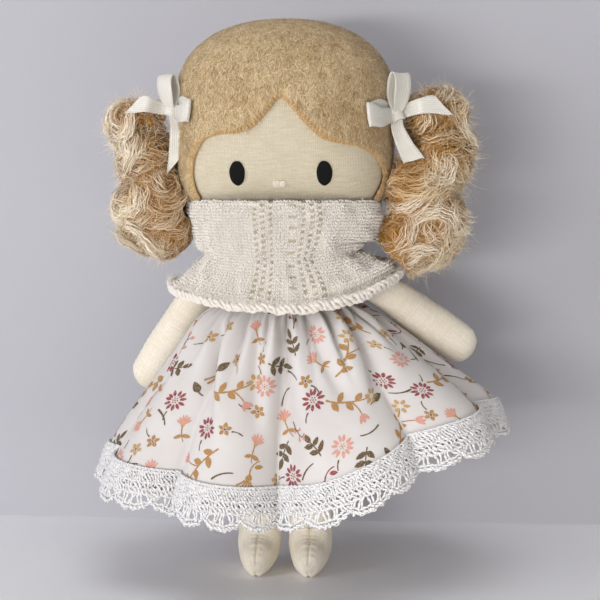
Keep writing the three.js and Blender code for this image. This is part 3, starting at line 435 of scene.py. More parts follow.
class NodeGraph:
    """A small helper that builds one material's nodes."""

    def __init__(self, name: str) -> None:
        """Start a material with one shader, joined to its output."""
        self.material = bpy.data.materials.new(name)
        self.material.use_nodes = True
        self.nodes = self.material.node_tree.nodes
        self.links = self.material.node_tree.links
        self.nodes.clear()
        output = self.nodes.new("ShaderNodeOutputMaterial")
        self.shader = self.nodes.new("ShaderNodeBsdfPrincipled")
        self.links.new(self.shader.outputs["BSDF"], output.inputs["Surface"])

    def put(self, socket: bpy.types.NodeSocket, value: object) -> None:
        """Set a socket to a number or a hex colour, or link another socket to it."""
        if isinstance(value, bpy.types.NodeSocket):
            self.links.new(value, socket)
        else:
            socket.default_value = linear(value) if isinstance(value, str) else value

    def node(self, kind: str, inputs: dict[str | int, object] | None = None, **settings: object
             ) -> bpy.types.Node:
        """Add a node with its settings and inputs."""
        made = self.nodes.new(kind)
        for key, value in settings.items():
            setattr(made, key, value)
        for key, value in (inputs or {}).items():
            self.put(made.inputs[key], value)
        return made

    def place(self, size: tuple[float, ...]) -> bpy.types.NodeSocket:
        """Coordinates in units of the given millimetres.

        Args:
            size: Three sizes for the object's own coordinates, or two for the cloth's UVs.
        """
        if len(size) == 3:
            source = self.node("ShaderNodeTexCoord").outputs["Object"]
            scale = [1 / (MM * one) for one in size]
        else:
            source = self.node("ShaderNodeUVMap", uv_map="UVMap").outputs["UV"]
            scale = [1 / (UV_PER_MM * one) for one in size] + [1]
        return self.node("ShaderNodeMapping", {"Vector": source, "Scale": scale}).outputs["Vector"]

    def noise(self, place: bpy.types.NodeSocket | tuple[float, ...], detail: float = 3, roughness: float = 0.5
              ) -> bpy.types.NodeSocket:
        """Noise over coordinates, or over those of the given sizes."""
        vector = self.place(place) if isinstance(place, tuple) else place
        made = self.node("ShaderNodeTexNoise", {"Vector": vector, "Scale": 1.0, "Detail": detail,
                                                "Roughness": roughness})
        return made.outputs["Fac"]

    def math(self, operation: str, *values: object) -> bpy.types.NodeSocket:
        """A math node."""
        made = self.node("ShaderNodeMath", operation=operation)
        for socket, value in zip(made.inputs, values):
            self.put(socket, value)
        return made.outputs[0]

    def fit(self, value: bpy.types.NodeSocket, low: float, high: float, to_low: float = 0, to_high: float = 1
            ) -> bpy.types.NodeSocket:
        """Map a range to another, clamped."""
        made = self.node("ShaderNodeMapRange", {"Value": value, "From Min": low, "From Max": high,
                                                "To Min": to_low, "To Max": to_high})
        return made.outputs["Result"]

    def blend(self, factor: object, first: object, second: object) -> bpy.types.NodeSocket:
        """Mix two colours."""
        made = self.node("ShaderNodeMix", {0: factor, 6: first, 7: second}, data_type="RGBA")
        return made.outputs[2]

    def tint(self, under: object, over: object, value: bpy.types.NodeSocket, low: float, high: float,
             at_high: float = 1.0, at_low: float = 0.0) -> bpy.types.NodeSocket:
        """Lay a colour over another, by a share that follows a value between two limits."""
        return self.blend(self.fit(value, low, high, at_low, at_high), under, over)

    def tone(self, name: str) -> bpy.types.NodeSocket:
        """A value that the mesh carries at each point."""
        return self.node("ShaderNodeAttribute", attribute_name=name).outputs["Fac"]

    def bump(self, height: bpy.types.NodeSocket, distance: float, strength: float = 1.0,
             under: bpy.types.NodeSocket | None = None) -> bpy.types.NodeSocket:
        """A bump of a given depth in millimetres."""
        made = self.node("ShaderNodeBump", {"Height": height, "Distance": distance * MM,
                                            "Strength": strength})
        if under is not None:
            self.put(made.inputs["Normal"], under)
        return made.outputs["Normal"]

    def weave(self, pitch: float) -> tuple[bpy.types.NodeSocket, bpy.types.NodeSocket]:
        """Height and thread unevenness of a plain weave.

        Args:
            pitch: Distance between threads in millimetres.

        Returns:
            The height of the woven threads from 0 to 1, and slow unevenness along them.
        """
        place = self.place((1, 1))
        slow = self.node("ShaderNodeVectorMath", {0: place, 1: (0.7, 0.7, 0.7)}, operation="MULTIPLY")
        wander = self.noise(slow.outputs[0], detail=2)
        shift = self.math("MULTIPLY", self.math("SUBTRACT", wander, 0.5), 0.5)
        parts = self.node("ShaderNodeSeparateXYZ", {"Vector": place})
        threads = []
        for axis, share in ((0, 0.6), (1, 0.4)):
            turn = self.math("MULTIPLY", self.math("ADD", parts.outputs[axis], shift), math.pi / pitch)
            threads.append(self.math("MULTIPLY", self.math("ABSOLUTE", self.math("SINE", turn)), share))
        return self.math("ADD", *threads), self.noise((pitch * 9, pitch * 1.2), detail=3)

    def surface(self, colour: object, roughness: object = 0.8, normal: object = None, **more: object
                ) -> bpy.types.Material:
        """Connect the shader's sockets and return the material."""
        self.put(self.shader.inputs["Base Color"], colour)
        self.put(self.shader.inputs["Roughness"], roughness)
        if normal is not None:
            self.put(self.shader.inputs["Normal"], normal)
        for key, value in more.items():
            self.put(self.shader.inputs[key.replace("_", " ")], value)
        return self.material

    def hide_backs(self) -> None:
        """Let the surface be seen through from behind."""
        back = self.node("ShaderNodeNewGeometry").outputs["Backfacing"]
        clear = self.node("ShaderNodeBsdfTransparent").outputs["BSDF"]
        mix = self.node("ShaderNodeMixShader", {0: back, 1: self.shader.outputs["BSDF"], 2: clear})
        output = next(n for n in self.nodes if n.type == "OUTPUT_MATERIAL")
        self.links.new(mix.outputs["Shader"], output.inputs["Surface"])


class Finish:
    """A real material of the doll; ``make`` builds its Blender material once."""

    name: str
    slot: str
    _made: bpy.types.Material | None = None

    def make(self) -> bpy.types.Material:
        """The Blender material, built the first time it is asked for."""
        if self._made is None:
            self._made = self.build(NodeGraph(self.name))
        return self._made

    def build(self, graph: NodeGraph) -> bpy.types.Material:
        """Build the nodes."""
        raise NotImplementedError


@dataclass
class Grained(Finish):
    """Fibre or thread in two colours, which one fine noise mixes and raises.

    Attributes:
        name: Name of the material.
        slot: Its slot.
        dark: Its darker colour.
        light: Its lighter colour.
        size: Size of the grain along each axis, in millimetres.
        relief: Depth of the grain in millimetres, and how strongly it shows.
        roughness: Roughness of the surface.
        noise: Detail and roughness of the noise.
        spread: Values of the noise between which the colours change over.
        more: Further values of the shader.
    """

    name: str
    slot: str
    dark: str
    light: str
    size: tuple[float, float, float]
    relief: tuple[float, float]
    roughness: float
    noise: tuple[float, float] = (2, 0.5)
    spread: tuple[float, float] = (0.3, 0.7)
    more: dict[str, float] = field(default_factory=dict)

    def build(self, graph: NodeGraph) -> bpy.types.Material:
        """Fibre colours mixed by the grain, which is also the relief."""
        grain = graph.noise(self.size, *self.noise)
        colour = graph.tint(self.dark, self.light, grain, *self.spread)
        return graph.surface(colour, self.roughness, graph.bump(grain, *self.relief), **self.more)


class UnbleachedLinen(Finish):
    """Unbleached linen and cotton in plain weave, with slubs and a few dark flecks."""

    name, slot = "unbleached_linen", "linen"
    ground, light, thread, fleck, gap = "#EFE5CF", "#F4ECDC", "#FBF6ED", "#CFBC98", "#D3C3A1"

    def build(self, graph: NodeGraph) -> bpy.types.Material:
        """Warm ground, then slubs, streaks, grain, gaps, seam and flecks over it."""
        height, slub = graph.weave(0.56)
        streak = graph.noise((0.45, 9), detail=3, roughness=0.6)
        grain = graph.noise((0.42, 0.42, 0.42), detail=4, roughness=0.75)
        colour = graph.tint(self.ground, self.light, graph.noise((14, 14, 14), detail=2), 0.35, 0.65)
        colour = graph.tint(colour, self.thread, slub, 0.35, 0.75)
        colour = graph.tint(colour, "#C2AD86", streak, 0.42, 0.7, 0.2)
        colour = graph.tint(colour, self.fleck, grain, 0.46, 0.7, 0.5)
        colour = graph.tint(colour, self.gap, height, 0.1, 0.7, 0.0, 0.3)
        colour = graph.tint(colour, "#A58D64", graph.tone("seam"), 0, 1, 0.35)
        colour = graph.tint(colour, "#8A6E4A", graph.noise((0.9, 0.9, 0.9), detail=1), 0.83, 0.86)
        normal = graph.bump(height, 0.16, 0.75, graph.bump(slub, 0.12, 0.5))
        return graph.surface(colour, 0.92, normal, Sheen_Weight=0.12, Sheen_Roughness=0.5)


class HeadLinenPaintedShade(UnbleachedLinen):
    """The head's linen: the same unbleached cloth in greyer, darker colours that paint the shade falling on
    the face.
    """

    name = "unbleached_head_linen_painted_shade"
    # Darker than the limbs' linen: painted shade on the face.
    ground, light, thread, fleck, gap = "#C6BBA0", "#CEC4AC", "#DAD2C0", "#B5A380", "#AC9C7A"


class BrushedWoolFelt(Finish):
    """Brushed wool felt, marled beige and brown, with painted shade browning one side, nap combed downward.
    """

    name, slot = "brushed_wool_felt", "wool_felt"

    def build(self, graph: NodeGraph) -> bpy.types.Material:
        """Marl and nap over two browns, with painted shade browning one side, and browner at cut edges."""
        nap = graph.noise((0.5, 0.5, 2.2), detail=4, roughness=0.65)
        marl = graph.noise((2.0, 2.0, 3.6))
        speck = graph.noise((0.32, 0.32, 0.6), detail=4, roughness=0.8)
        across = graph.node("ShaderNodeSeparateXYZ", {"Vector": graph.place((1, 1, 1))}).outputs[0]
        colour = graph.tint("#DAC194", "#BC9C6A", graph.noise((22, 22, 26), detail=1), 0.36, 0.62)
        colour = graph.tint(colour, "#A98A52", marl, 0.4, 0.66, 0.45)
        colour = graph.tint(colour, "#E6D5AE", nap, 0.32, 0.7, 0.8)
        colour = graph.tint(colour, "#926A40", speck, 0.48, 0.66, 0.75)
        # Painted shade: browner toward +X, the doll's left, the side turned away from the key lamp.
        colour = graph.tint(colour, "#9A6E48", across, -4, 34, 0.34)
        colour = graph.tint(colour, "#AB8448", graph.tone("edge"), 0, 1, 0.6)
        normal = graph.bump(nap, 0.5, 0.8, graph.bump(marl, 0.6, 0.35))
        return graph.surface(colour, 1.0, normal, Sheen_Weight=0.2, Sheen_Roughness=0.6, Sheen_Tint="#F3E2C3")


class FeltNap(Finish):
    """The loose fibres of the felt's brushed face."""

    name, slot = "felt_nap", "wool_felt"

    def build(self, graph: NodeGraph) -> bpy.types.Material:
        """Each fibre in a shade of its own."""
        colour = graph.blend(graph.tone("shade"), "#96703C", "#EFDFB9")
        return graph.surface(colour, 0.95, Sheen_Weight=0.1, Sheen_Roughness=0.5)


class CurlyMohair(Finish):
    """Curly mohair: fine cream fibres, with painted shade that turns them honey brown deep in the locks."""

    name, slot = "curly_mohair", "mohair"

    def build(self, graph: NodeGraph) -> bpy.types.Material:
        """Cream fibres, browned by painted shade toward the inside."""
        outer = graph.blend(graph.tone("shade"), "#E6D1A8", "#FBF2E0")
        # Painted shade: the deep tone browns fibres on the inner side of the locks, near the mass and near
        # the head.
        colour = graph.blend(graph.tone("deep"), outer, "#B8843A")
        return graph.surface(colour, 0.75, Sheen_Weight=0.4, Sheen_Roughness=0.4, Specular_IOR_Level=0.2)


class MohairCorePaintedShade(Finish):
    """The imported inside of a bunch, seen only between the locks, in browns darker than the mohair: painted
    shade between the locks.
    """

    name, slot = "mohair_core", "mohair"

    def build(self, graph: NodeGraph) -> bpy.types.Material:
        """Fine fibres drawn over patches of two browns that paint the shade between the locks."""
        fibre = graph.noise((0.7, 0.7, 2.4), detail=4, roughness=0.7)
        colour = graph.tint("#B07E3A", "#D0AA6C", graph.noise((4, 4, 4), detail=2), 0.35, 0.65)
        colour = graph.tint(colour, "#E0C495", fibre, 0.35, 0.7, 0.7)
        return graph.surface(colour, 0.8, graph.bump(fibre, 0.6, 0.9))


class IvorySatin(Finish):
    """Ivory satin ribbon: fine ribs along it and a soft shine."""

    name, slot = "ivory_satin", "satin_ribbon"

    def build(self, graph: NodeGraph) -> bpy.types.Material:
        """Darker grooves between the ribs, and cloudy threads along them."""
        wave = graph.node("ShaderNodeTexWave", {"Vector": graph.place((0.95, 0.95)), "Scale": 0.5,
                                                "Distortion": 0.6, "Detail": 1.0}, bands_direction="X")
        rib = wave.outputs["Fac"]
        colour = graph.tint("#D3D0C6", "#E2DFD8", graph.noise((0.25, 5), detail=2), 0.3, 0.7)
        colour = graph.tint(colour, "#B9B09A", rib, 0, 1, 0.4)
        return graph.surface(colour, 0.36, graph.bump(rib, 0.05, 0.6), Sheen_Weight=0.25, Anisotropic=0.5)


class FuzzyKnit(Finish):
    """Fine cream wool knitted in columns of V stitches."""

    name, slot = "fuzzy_cream_knit", "cream_knit"

    def build(self, graph: NodeGraph) -> bpy.types.Material:
        """Stitch columns with slanted legs, darker between them, and painted shade on the base at eyelets and
        between the stitches.
        """
        parts = graph.node("ShaderNodeSeparateXYZ", {"Vector": graph.place((1, 1))})
        column = graph.math("MULTIPLY", parts.outputs[0], math.pi / 0.95)
        leg = graph.math("ABSOLUTE", graph.math("SINE", column))
        lean = graph.math("MULTIPLY", graph.math("ABSOLUTE", graph.math("COSINE", column)), 1.1)
        row = graph.math("ADD", graph.math("MULTIPLY", parts.outputs[1], 2 * math.pi / 0.85), lean)
        stitch = graph.math("MULTIPLY", leg, graph.fit(graph.math("SINE", row), -1, 1, 0.35, 1))
        yarn = graph.noise((0.45, 0.45, 0.45), detail=4, roughness=0.7)
        colour = graph.tint("#F1EAE0", "#FBF7F1", graph.noise((5, 5, 5), detail=2), 0.35, 0.65)
        colour = graph.tint(colour, "#D3C6B2", stitch, 0.05, 0.6, 0.0, 0.55)
        colour = graph.tint(colour, "#FFFDF9", yarn, 0.35, 0.7, 0.6)
        # Painted shade: the tone darkens the base a little everywhere, where it shows between the stitches,
        # and fully in the eyelets.
        colour = graph.tint(colour, "#A99A7E", graph.tone("hole"), 0, 1, 0.95)
        normal = graph.bump(stitch, 0.35, 0.6, graph.bump(yarn, 0.3, 0.55))
        return graph.surface(colour, 1.0, normal, Sheen_Weight=0.4, Sheen_Roughness=0.6)


class OffWhiteCotton(Finish):
    """Off-white cotton lawn for the skirt, a fine plain weave."""

    name, slot = "off_white_cotton", "printed_cotton"

    def build(self, graph: NodeGraph) -> bpy.types.Material:
        """Two near whites, a little darker between the threads."""
        height, slub = graph.weave(0.34)
        colour = graph.tint("#CFCAC7", "#D6D2D0", graph.noise((20, 20, 20), detail=2), 0.35, 0.65)
        colour = graph.tint(colour, "#D6CCC4", height, 0.0, 0.7, 0.0, 0.32)
        normal = graph.bump(height, 0.07, 0.5, graph.bump(slub, 0.06, 0.4))
        return graph.surface(colour, 0.85, normal, Sheen_Weight=0.1)


class PrintInk(Finish):
    """Pigment printed on the cotton; the mesh carries which of the inks a motif takes."""

    name, slot = "print_ink", "printed_cotton"
    inks = ("#8A3A40", "#CF9484", "#A87C44", "#5A4726", "#B8935E")

    def build(self, graph: NodeGraph) -> bpy.types.Material:
        """One ink after another over the first, with the cloth showing through."""
        ink = graph.tone("ink")
        colour: object = self.inks[0]
        for index, over in enumerate(self.inks[1:], start=1):
            colour = graph.tint(colour, over, ink, index - 0.6, index - 0.4)
        grain = graph.noise((0.35, 0.35, 0.35), detail=3, roughness=0.7)
        return graph.surface(graph.tint(colour, "#F0E6DC", grain, 0.5, 0.8, 0.5), 0.9)


class PaintedWall(Finish):
    """Pale grey painted wall behind the doll."""

    name = "painted_wall"
    colour, roughness = "#B7B7BD", 0.9

    def build(self, graph: NodeGraph) -> bpy.types.Material:
        """One colour with a faint relief, clear from behind."""
        graph.hide_backs()
        return graph.surface(self.colour, self.roughness, graph.bump(graph.noise((3, 3, 3)), 0.05, 0.3))


class PaleTableTop(PaintedWall):
    """Pale satin table top that the doll stands on."""

    name = "pale_table_top"
    colour, roughness = "#F6F6F9", 0.5


LINEN = UnbleachedLinen()
HEAD_LINEN_PAINTED_SHADE = HeadLinenPaintedShade()
FELT = BrushedWoolFelt()
NAP = FeltNap()
MOHAIR = CurlyMohair()
CORE_PAINTED_SHADE = MohairCorePaintedShade()
SATIN = IvorySatin()
KNIT = FuzzyKnit()
COTTON = OffWhiteCotton()
INK = PrintInk()
WALL = PaintedWall()
TABLE = PaleTableTop()
FINE = (0.3, 0.3, 0.3)
WOOL = {"size": (0.4, 0.4, 0.4), "relief": (0.25, 0.6), "roughness": 1.0, "noise": (4, 0.7),
        "more": {"Sheen_Weight": 0.4}}
THREAD = {"size": FINE, "relief": (0.08, 0.5), "roughness": 0.6, "more": {"Sheen_Weight": 0.2}}
YARN = Grained("knit_yarn", "cream_knit", "#EBE2D6", "#FBF8F3", **WOOL)
# The hem cord is the knit's yarn in darker colours: painted shade between its plies.
CORD_PAINTED_SHADE = Grained("cord_yarn_painted_shade", "cream_knit", "#D9D0C4", "#F3EEE6", **WOOL)
OCHRE = Grained("ochre_thread", "tie_thread", "#B08246", "#DDBB86", **THREAD)
CREAM = Grained("cream_thread", "linen", "#DCCDAC", "#F7EFDF", **THREAD)
LACE = Grained("mercerised_lace", "cotton_lace", "#DEDCDB", "#F2F1F1", FINE, (0.12, 0.7), 0.22, (3, 0.5),
               more={"Specular_IOR_Level": 0.7})
EYE_FELT = Grained("black_felt", "black_felt", "#030303", "#131215", (0.25, 0.25, 0.6), (0.18, 0.7), 0.85,
                   (4, 0.7), (0.4, 0.75), {"Specular_IOR_Level": 0.25})
FLOSS = Grained("cream_floss", "cream_floss", "#D2C8AE", "#EEE7D8", (0.5, 0.5, 0.12), (0.1, 0.6), 0.35,
                more={"Sheen_Weight": 0.3})
ELASTIC = Grained("braided_elastic", "elastic", "#DEDEDC", "#F8F8F6", (3, 3, 0.3), (0.1, 0.6), 0.7,
                  spread=(0, 1))


class Side(Enum):
    """The doll's own sides, with the sign of X that each lies on."""

    RIGHT = -1
    LEFT = 1

    @property
    def label(self) -> str:
        """The side's name as it stands in the names of pieces and bodies."""
        return self.name.lower()


def head_share(x: Array, z: Array, grow: float) -> Array:
    """How far out a place of the front view lies, as a share of the head's outline there."""
    rise = z > HEAD_WIDEST_HEIGHT
    power = np.where(rise, CROWN_POWER, CHEEK_POWER)
    tall = np.where(rise, HEAD_RISE, HEAD_DROP) + grow
    across = np.abs(x / (HEAD_HALF_WIDTH + grow))
    up = np.abs((z - HEAD_WIDEST_HEIGHT) / tall)
    return (across ** power + up ** power) ** (1 / power)


def head_depth(x: Array, z: Array, grow: float) -> Array:
    """Half depth of the head at a place of the front view."""
    share = np.minimum(1, head_share(x, z, grow))
    return (HEAD_HALF_DEPTH + grow) * (1 - share ** BULGE_POWER) ** (1 / BULGE_POWER)


def head_normal(x: Array, z: Array) -> Array:
    """Outward normals of the head's linen front at places of the front view."""
    step = 0.05
    dx = (head_depth(x + step, z, 0) - head_depth(x - step, z, 0)) / (2 * step)
    dz = (head_depth(x, z + step, 0) - head_depth(x, z - step, 0)) / (2 * step)
    dx = np.where(head_depth(x, z, 0) < 1.0, -np.sign(x) * 4, dx)
    return unit(placed(-dx, -1, -dz))


def in_metres(*place: float) -> tuple[float, float, float]:
    """A place in the doll's millimetres as metres in the CAD's frame."""
    x, y, z = (np.array(place) + ORIGIN) * MM
    return (float(x), float(y), float(z))


def grid_normals(points: Array, wrap: bool = False) -> Array:
    """Normals of a grid of points, on the side that its quads face.

    Args:
        points: Points of shape (rows, columns, 3).
        wrap: Whether the last column joins the first.

    Returns:
        Unit normals of the same shape: the cross product of the steps along a row and down a column.
    """
    if wrap:
        across = np.roll(points, -1, axis=1) - np.roll(points, 1, axis=1)
    else:
        across = np.gradient(points, axis=1)
    return unit(np.cross(across, np.gradient(points, axis=0)))


def scatter(points: Array, count: int, rng: np.random.Generator, weight: Array) -> tuple[Array, Array]:
    """Pick random places on a grid surface.

    Args:
        points: Points of shape (rows, columns, 3).
        count: How many places.
        rng: Source of the draws.
        weight: How likely each grid point's cell is, for its area.

    Returns:
        The places and their normals.
    """
    across = points[:-1, 1:] - points[:-1, :-1]
    down = points[1:, :-1] - points[:-1, :-1]
    cross = np.cross(across, down)
    area = np.linalg.norm(cross, axis=-1)
    chance = area * weight[:-1, :-1]
    picked = rng.choice(area.size, size=count, p=(chance / chance.sum()).ravel())
    r, c = np.unravel_index(picked, area.shape)
    a, b = rng.random((2, count, 1))
    return points[r, c] + across[r, c] * a + down[r, c] * b, unit(cross[r, c])


def lying_fibres(place: Array, normal: Array, comb: Array, length: Array, lift: float, bend: float,
                 rng: np.random.Generator) -> Array:
    """Paths of short fibres that start on a surface and lie along it.

    Each path runs along the combing direction within the surface, swerves to one side with the
    square of the distance, and rises in a half sine from its root to its tip.

    Args:
        place: Where the fibres are rooted.
        normal: The surface's normals there.
        comb: Direction each fibre is combed in, one a row.
        length: Length of each fibre in millimetres.
        lift: How far the middle of a fibre stands off the surface.
        bend: How strongly the fibres swerve.
        rng: Source of the draws.

    Returns:
        Points of shape (fibres, NAP_STEPS, 3).
    """
    flow = square_to(comb, normal)
    side = np.cross(normal, flow)
    share = np.linspace(0, 1, NAP_STEPS)[None, :, None]
    long = length[:, None, None]
    swerve = rng.normal(size=(len(length), 1, 1)) * bend
    rise = lift * rng.uniform(0.4, 1.3, (len(length), 1, 1)) * (np.sin(share * 2.6) + 0.1)
    return (place[:, None] + flow[:, None] * share * long + side[:, None] * share ** 2 * swerve * long
            + normal[:, None] * rise)


def piece(part: Part, name: str, finish: Finish, *nodes: str) -> bpy.types.Object:
    """Build a piece in one finish, in place of the nodes that it stands for."""
    obj = part.build(name, finish.make())
    if nodes:
        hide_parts(*nodes)
    return obj


def dress(body: str, part: Part, name: str, finish: Finish, *nodes: str) -> bpy.types.Object:
    """Build a piece that moves with a body."""
    obj = piece(part, name, finish, *nodes)
    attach(obj, body)
    return obj


ROOT_BODY = "dressed_body"


@dataclass
class CameraRig:
    """The viewpoint: level with the doll's neck, a little to its left, looking slightly down."""

    eye: tuple[float, float, float] = (29.0, -400.0, 122.0)
    target: tuple[float, float, float] = (4.9, 0.0, 89.2)
    lens: float = 73.1

    def build(self) -> None:
        """Make the camera and set it as the scene's."""
        data = bpy.data.cameras.new("camera")
        data.lens = self.lens
        data.sensor_width = 36.0
        data.clip_start = 0.01
        data.clip_end = 20.0
        camera = bpy.data.objects.new("camera", data)
        eye = Vector(in_metres(*self.eye))
        aim = Vector(in_metres(*self.target)) - eye
        camera.location = eye
        camera.rotation_euler = aim.to_track_quat("-Z", "Y").to_euler()
        bpy.context.scene.collection.objects.link(camera)
        bpy.context.scene.camera = camera


@dataclass(frozen=True)
class Lamp:
    """A soft oval lamp that faces the doll and isn't seen itself, in millimetres and watts."""

    name: str
    place: tuple[float, float, float]
    size: tuple[float, float]
    power: float
    colour: str
    aim: tuple[float, float, float] = (0.0, 0.0, 80.0)

    def build(self) -> None:
        """Add the lamp to the scene."""
        data = bpy.data.lights.new(self.name, "AREA")
        data.shape = "ELLIPSE"
        data.size, data.size_y = self.size[0] * MM, self.size[1] * MM
        data.energy = self.power
        data.color = linear(self.colour)[:3]
        lamp = bpy.data.objects.new(self.name, data)
        lamp.location = in_metres(*self.place)
        lamp.visible_camera = False
        aim = Vector(in_metres(*self.aim)) - lamp.location
        lamp.rotation_euler = aim.to_track_quat("-Z", "Y").to_euler()
        bpy.context.scene.collection.objects.link(lamp)


@dataclass
class Studio:
    """A pale table top, a pale wall close behind the doll, four soft lamps and an even pale sky.

    The key lamp is at the front left, one lies low in front, and a weak one is overhead. The last
    stands for the light that a white table throws back up under the skirt.
    """

    wall_distance: float = 57.2
    half_width: float = 1500.0
    wall_height: float = 1400.0
    lamps: tuple[Lamp, ...] = (
        Lamp("key", (-900.0, -700.0, 360.0), (460.0, 740.0), 4.6, "#F8F9FF"),
        Lamp("low_fill", (-360.0, -920.0, 36.0), (560.0, 68.0), 4.0, "#FDFBFA"),
        Lamp("ceiling", (60.0, -300.0, 900.0), (700.0, 500.0), 1.8, "#FFFFFF"),
        Lamp("bounce", (80.0, -180.0, 8.0), (220.0, 70.0), 0.12, "#FFFBF4"),
    )
    sky_colour: str = "#F3F0EE"
    sky_strength: float = 0.3

    def build(self) -> None:
        """Make the table top, the wall, the lamps and the sky."""
        w, back, top = self.half_width, self.wall_distance, self.wall_height
        floor = np.array([[[-w, -w, 0.0], [w, -w, 0.0]], [[-w, w, 0.0], [w, w, 0.0]]]) - [0, 0, ORIGIN[2]]
        wall = np.array([[[-w, back, 0.0], [w, back, 0.0]], [[-w, back, top], [w, back, top]]])
        grid_part(floor).build("table_top", TABLE.make())
        grid_part(wall).build("wall", WALL.make())
        for lamp in self.lamps:
            lamp.build()
        world = bpy.data.worlds.new("soft_sky")
        world.use_nodes = True
        background = world.node_tree.nodes["Background"]
        background.inputs["Color"].default_value = linear(self.sky_colour)
        background.inputs["Strength"].default_value = self.sky_strength
        bpy.context.scene.world = world


@dataclass
class StuffedHead:
    """The linen head: two panels sewn along its outline and stuffed to a flattened bun."""

    around: int = 176
    latitudes: int = 100
    stuffing_lumps: float = 0.1

    def skin(self) -> Part:
        """The closed skin.

        A ring's latitude runs from the front pole to the back pole. Its points lie at the outline's
        radius times the cosine of the latitude, and at the superellipse's depth for that share.
        """
        latitude = np.linspace(-1, 1, self.latitudes) * (math.pi / 2 - 0.012)
        angle = circle(self.around)
        c, s = np.cos(angle)[None], np.sin(angle)[None]
        reach = 1 / head_share(c, HEAD_WIDEST_HEIGHT + s, 0)
        share = np.cos(latitude)[:, None]
        depth = HEAD_HALF_DEPTH * (1 - share ** BULGE_POWER) ** (1 / BULGE_POWER)
        rings = placed(c * reach * share, np.sign(latitude)[:, None] * depth,
                       HEAD_WIDEST_HEIGHT + s * reach * share)
        lumps = lattice_noise(rings, 13, 3) * self.stuffing_lumps
        rings += lumps[..., None] * unit(rings - [0, 0, HEAD_WIDEST_HEIGHT - 6])
        part = capped_tube(rings)
        far = np.minimum(reached(rings), reached(rings[::-1])[::-1])[..., None]
        flat = far * np.stack([np.cos(angle), np.sin(angle)], axis=-1)[None] * UV_PER_MM
        part.uv = np.vstack([flat.reshape(-1, 2), [[0, 0], [0, 0]]])
        return part

    def build(self) -> None:
        """Make the head."""
        dress(ROOT_BODY, self.skin(), "head_linen", HEAD_LINEN_PAINTED_SHADE, "head")


@dataclass
class Face:
    """Black felt ovals for eyes and a nose of two small satin stitches."""

    eye_places: tuple[float, float] = (-13.65, 13.65)
    eye_height: float = 130.4
    eye_width: float = 4.9
    eye_tall: float = 7.6
    eye_thickness: float = 0.75
    nose_height: float = 127.1
    nose_middle: float = -0.4
    nose_half: float = 2.4
    stitch_radius: float = 0.2

    def eye(self, x: float) -> Part:
        """A domed oval: rings shrink to the middle while they rise like a rounded edge."""
        turn = circle(48)
        shares = np.array([0.97, 1.0, 1.0, 0.985, 0.94, 0.86, 0.7, 0.45, 0.2])
        lifts = np.array([-0.25, 0.1, 0.35, 0.55, 0.75, 0.88, 0.97, 1.0, 1.0]) * self.eye_thickness
        wobble = 1 + 0.012 * np.sin(3 * turn + x) + 0.01 * np.sin(7 * turn)
        px = x + np.outer(shares, np.cos(turn) * wobble) * self.eye_width / 2
        pz = self.eye_height + np.outer(shares, np.sin(turn) * wobble) * self.eye_tall / 2
        return capped_tube(placed(px, -head_depth(px, pz, 0.08) - lifts[:, None], pz))

    def nose(self) -> Part:
        """Two bumps, each of short threads that lie side by side from left to right."""
        parts = []
        for side, (half, tall) in ((-1, (1.3, 0.85)), (1, (1.15, 0.72))):
            middle = self.nose_middle + side * (self.nose_half / 2 - 0.3)
            rows, share = np.linspace(-1, 1, 6)[:, None], np.linspace(-1, 1, 11)[None]
            x = middle + share * half * np.sqrt(1 - 0.45 * rows ** 2)
            z = self.nose_height + rows * tall + 0.12 * share * side
            swell = 0.48 * np.sqrt(1 - 0.75 * rows ** 2) * (1 - share ** 4)
            paths = placed(x, -head_depth(x, z, 0.0) - 0.1 - swell, z)
            parts.append(tubes(paths, np.full(x.shape, self.stitch_radius), 6))
        return Part.joined(parts)

    def build(self) -> None:
        """Make both eyes and the nose."""
        for x, side in zip(self.eye_places, ("right", "left")):
            dress(ROOT_BODY, self.eye(x), f"{side}_eye_oval", EYE_FELT, f"{side}_eye")
        dress(ROOT_BODY, self.nose(), "nose_stitches", FLOSS, "nose")


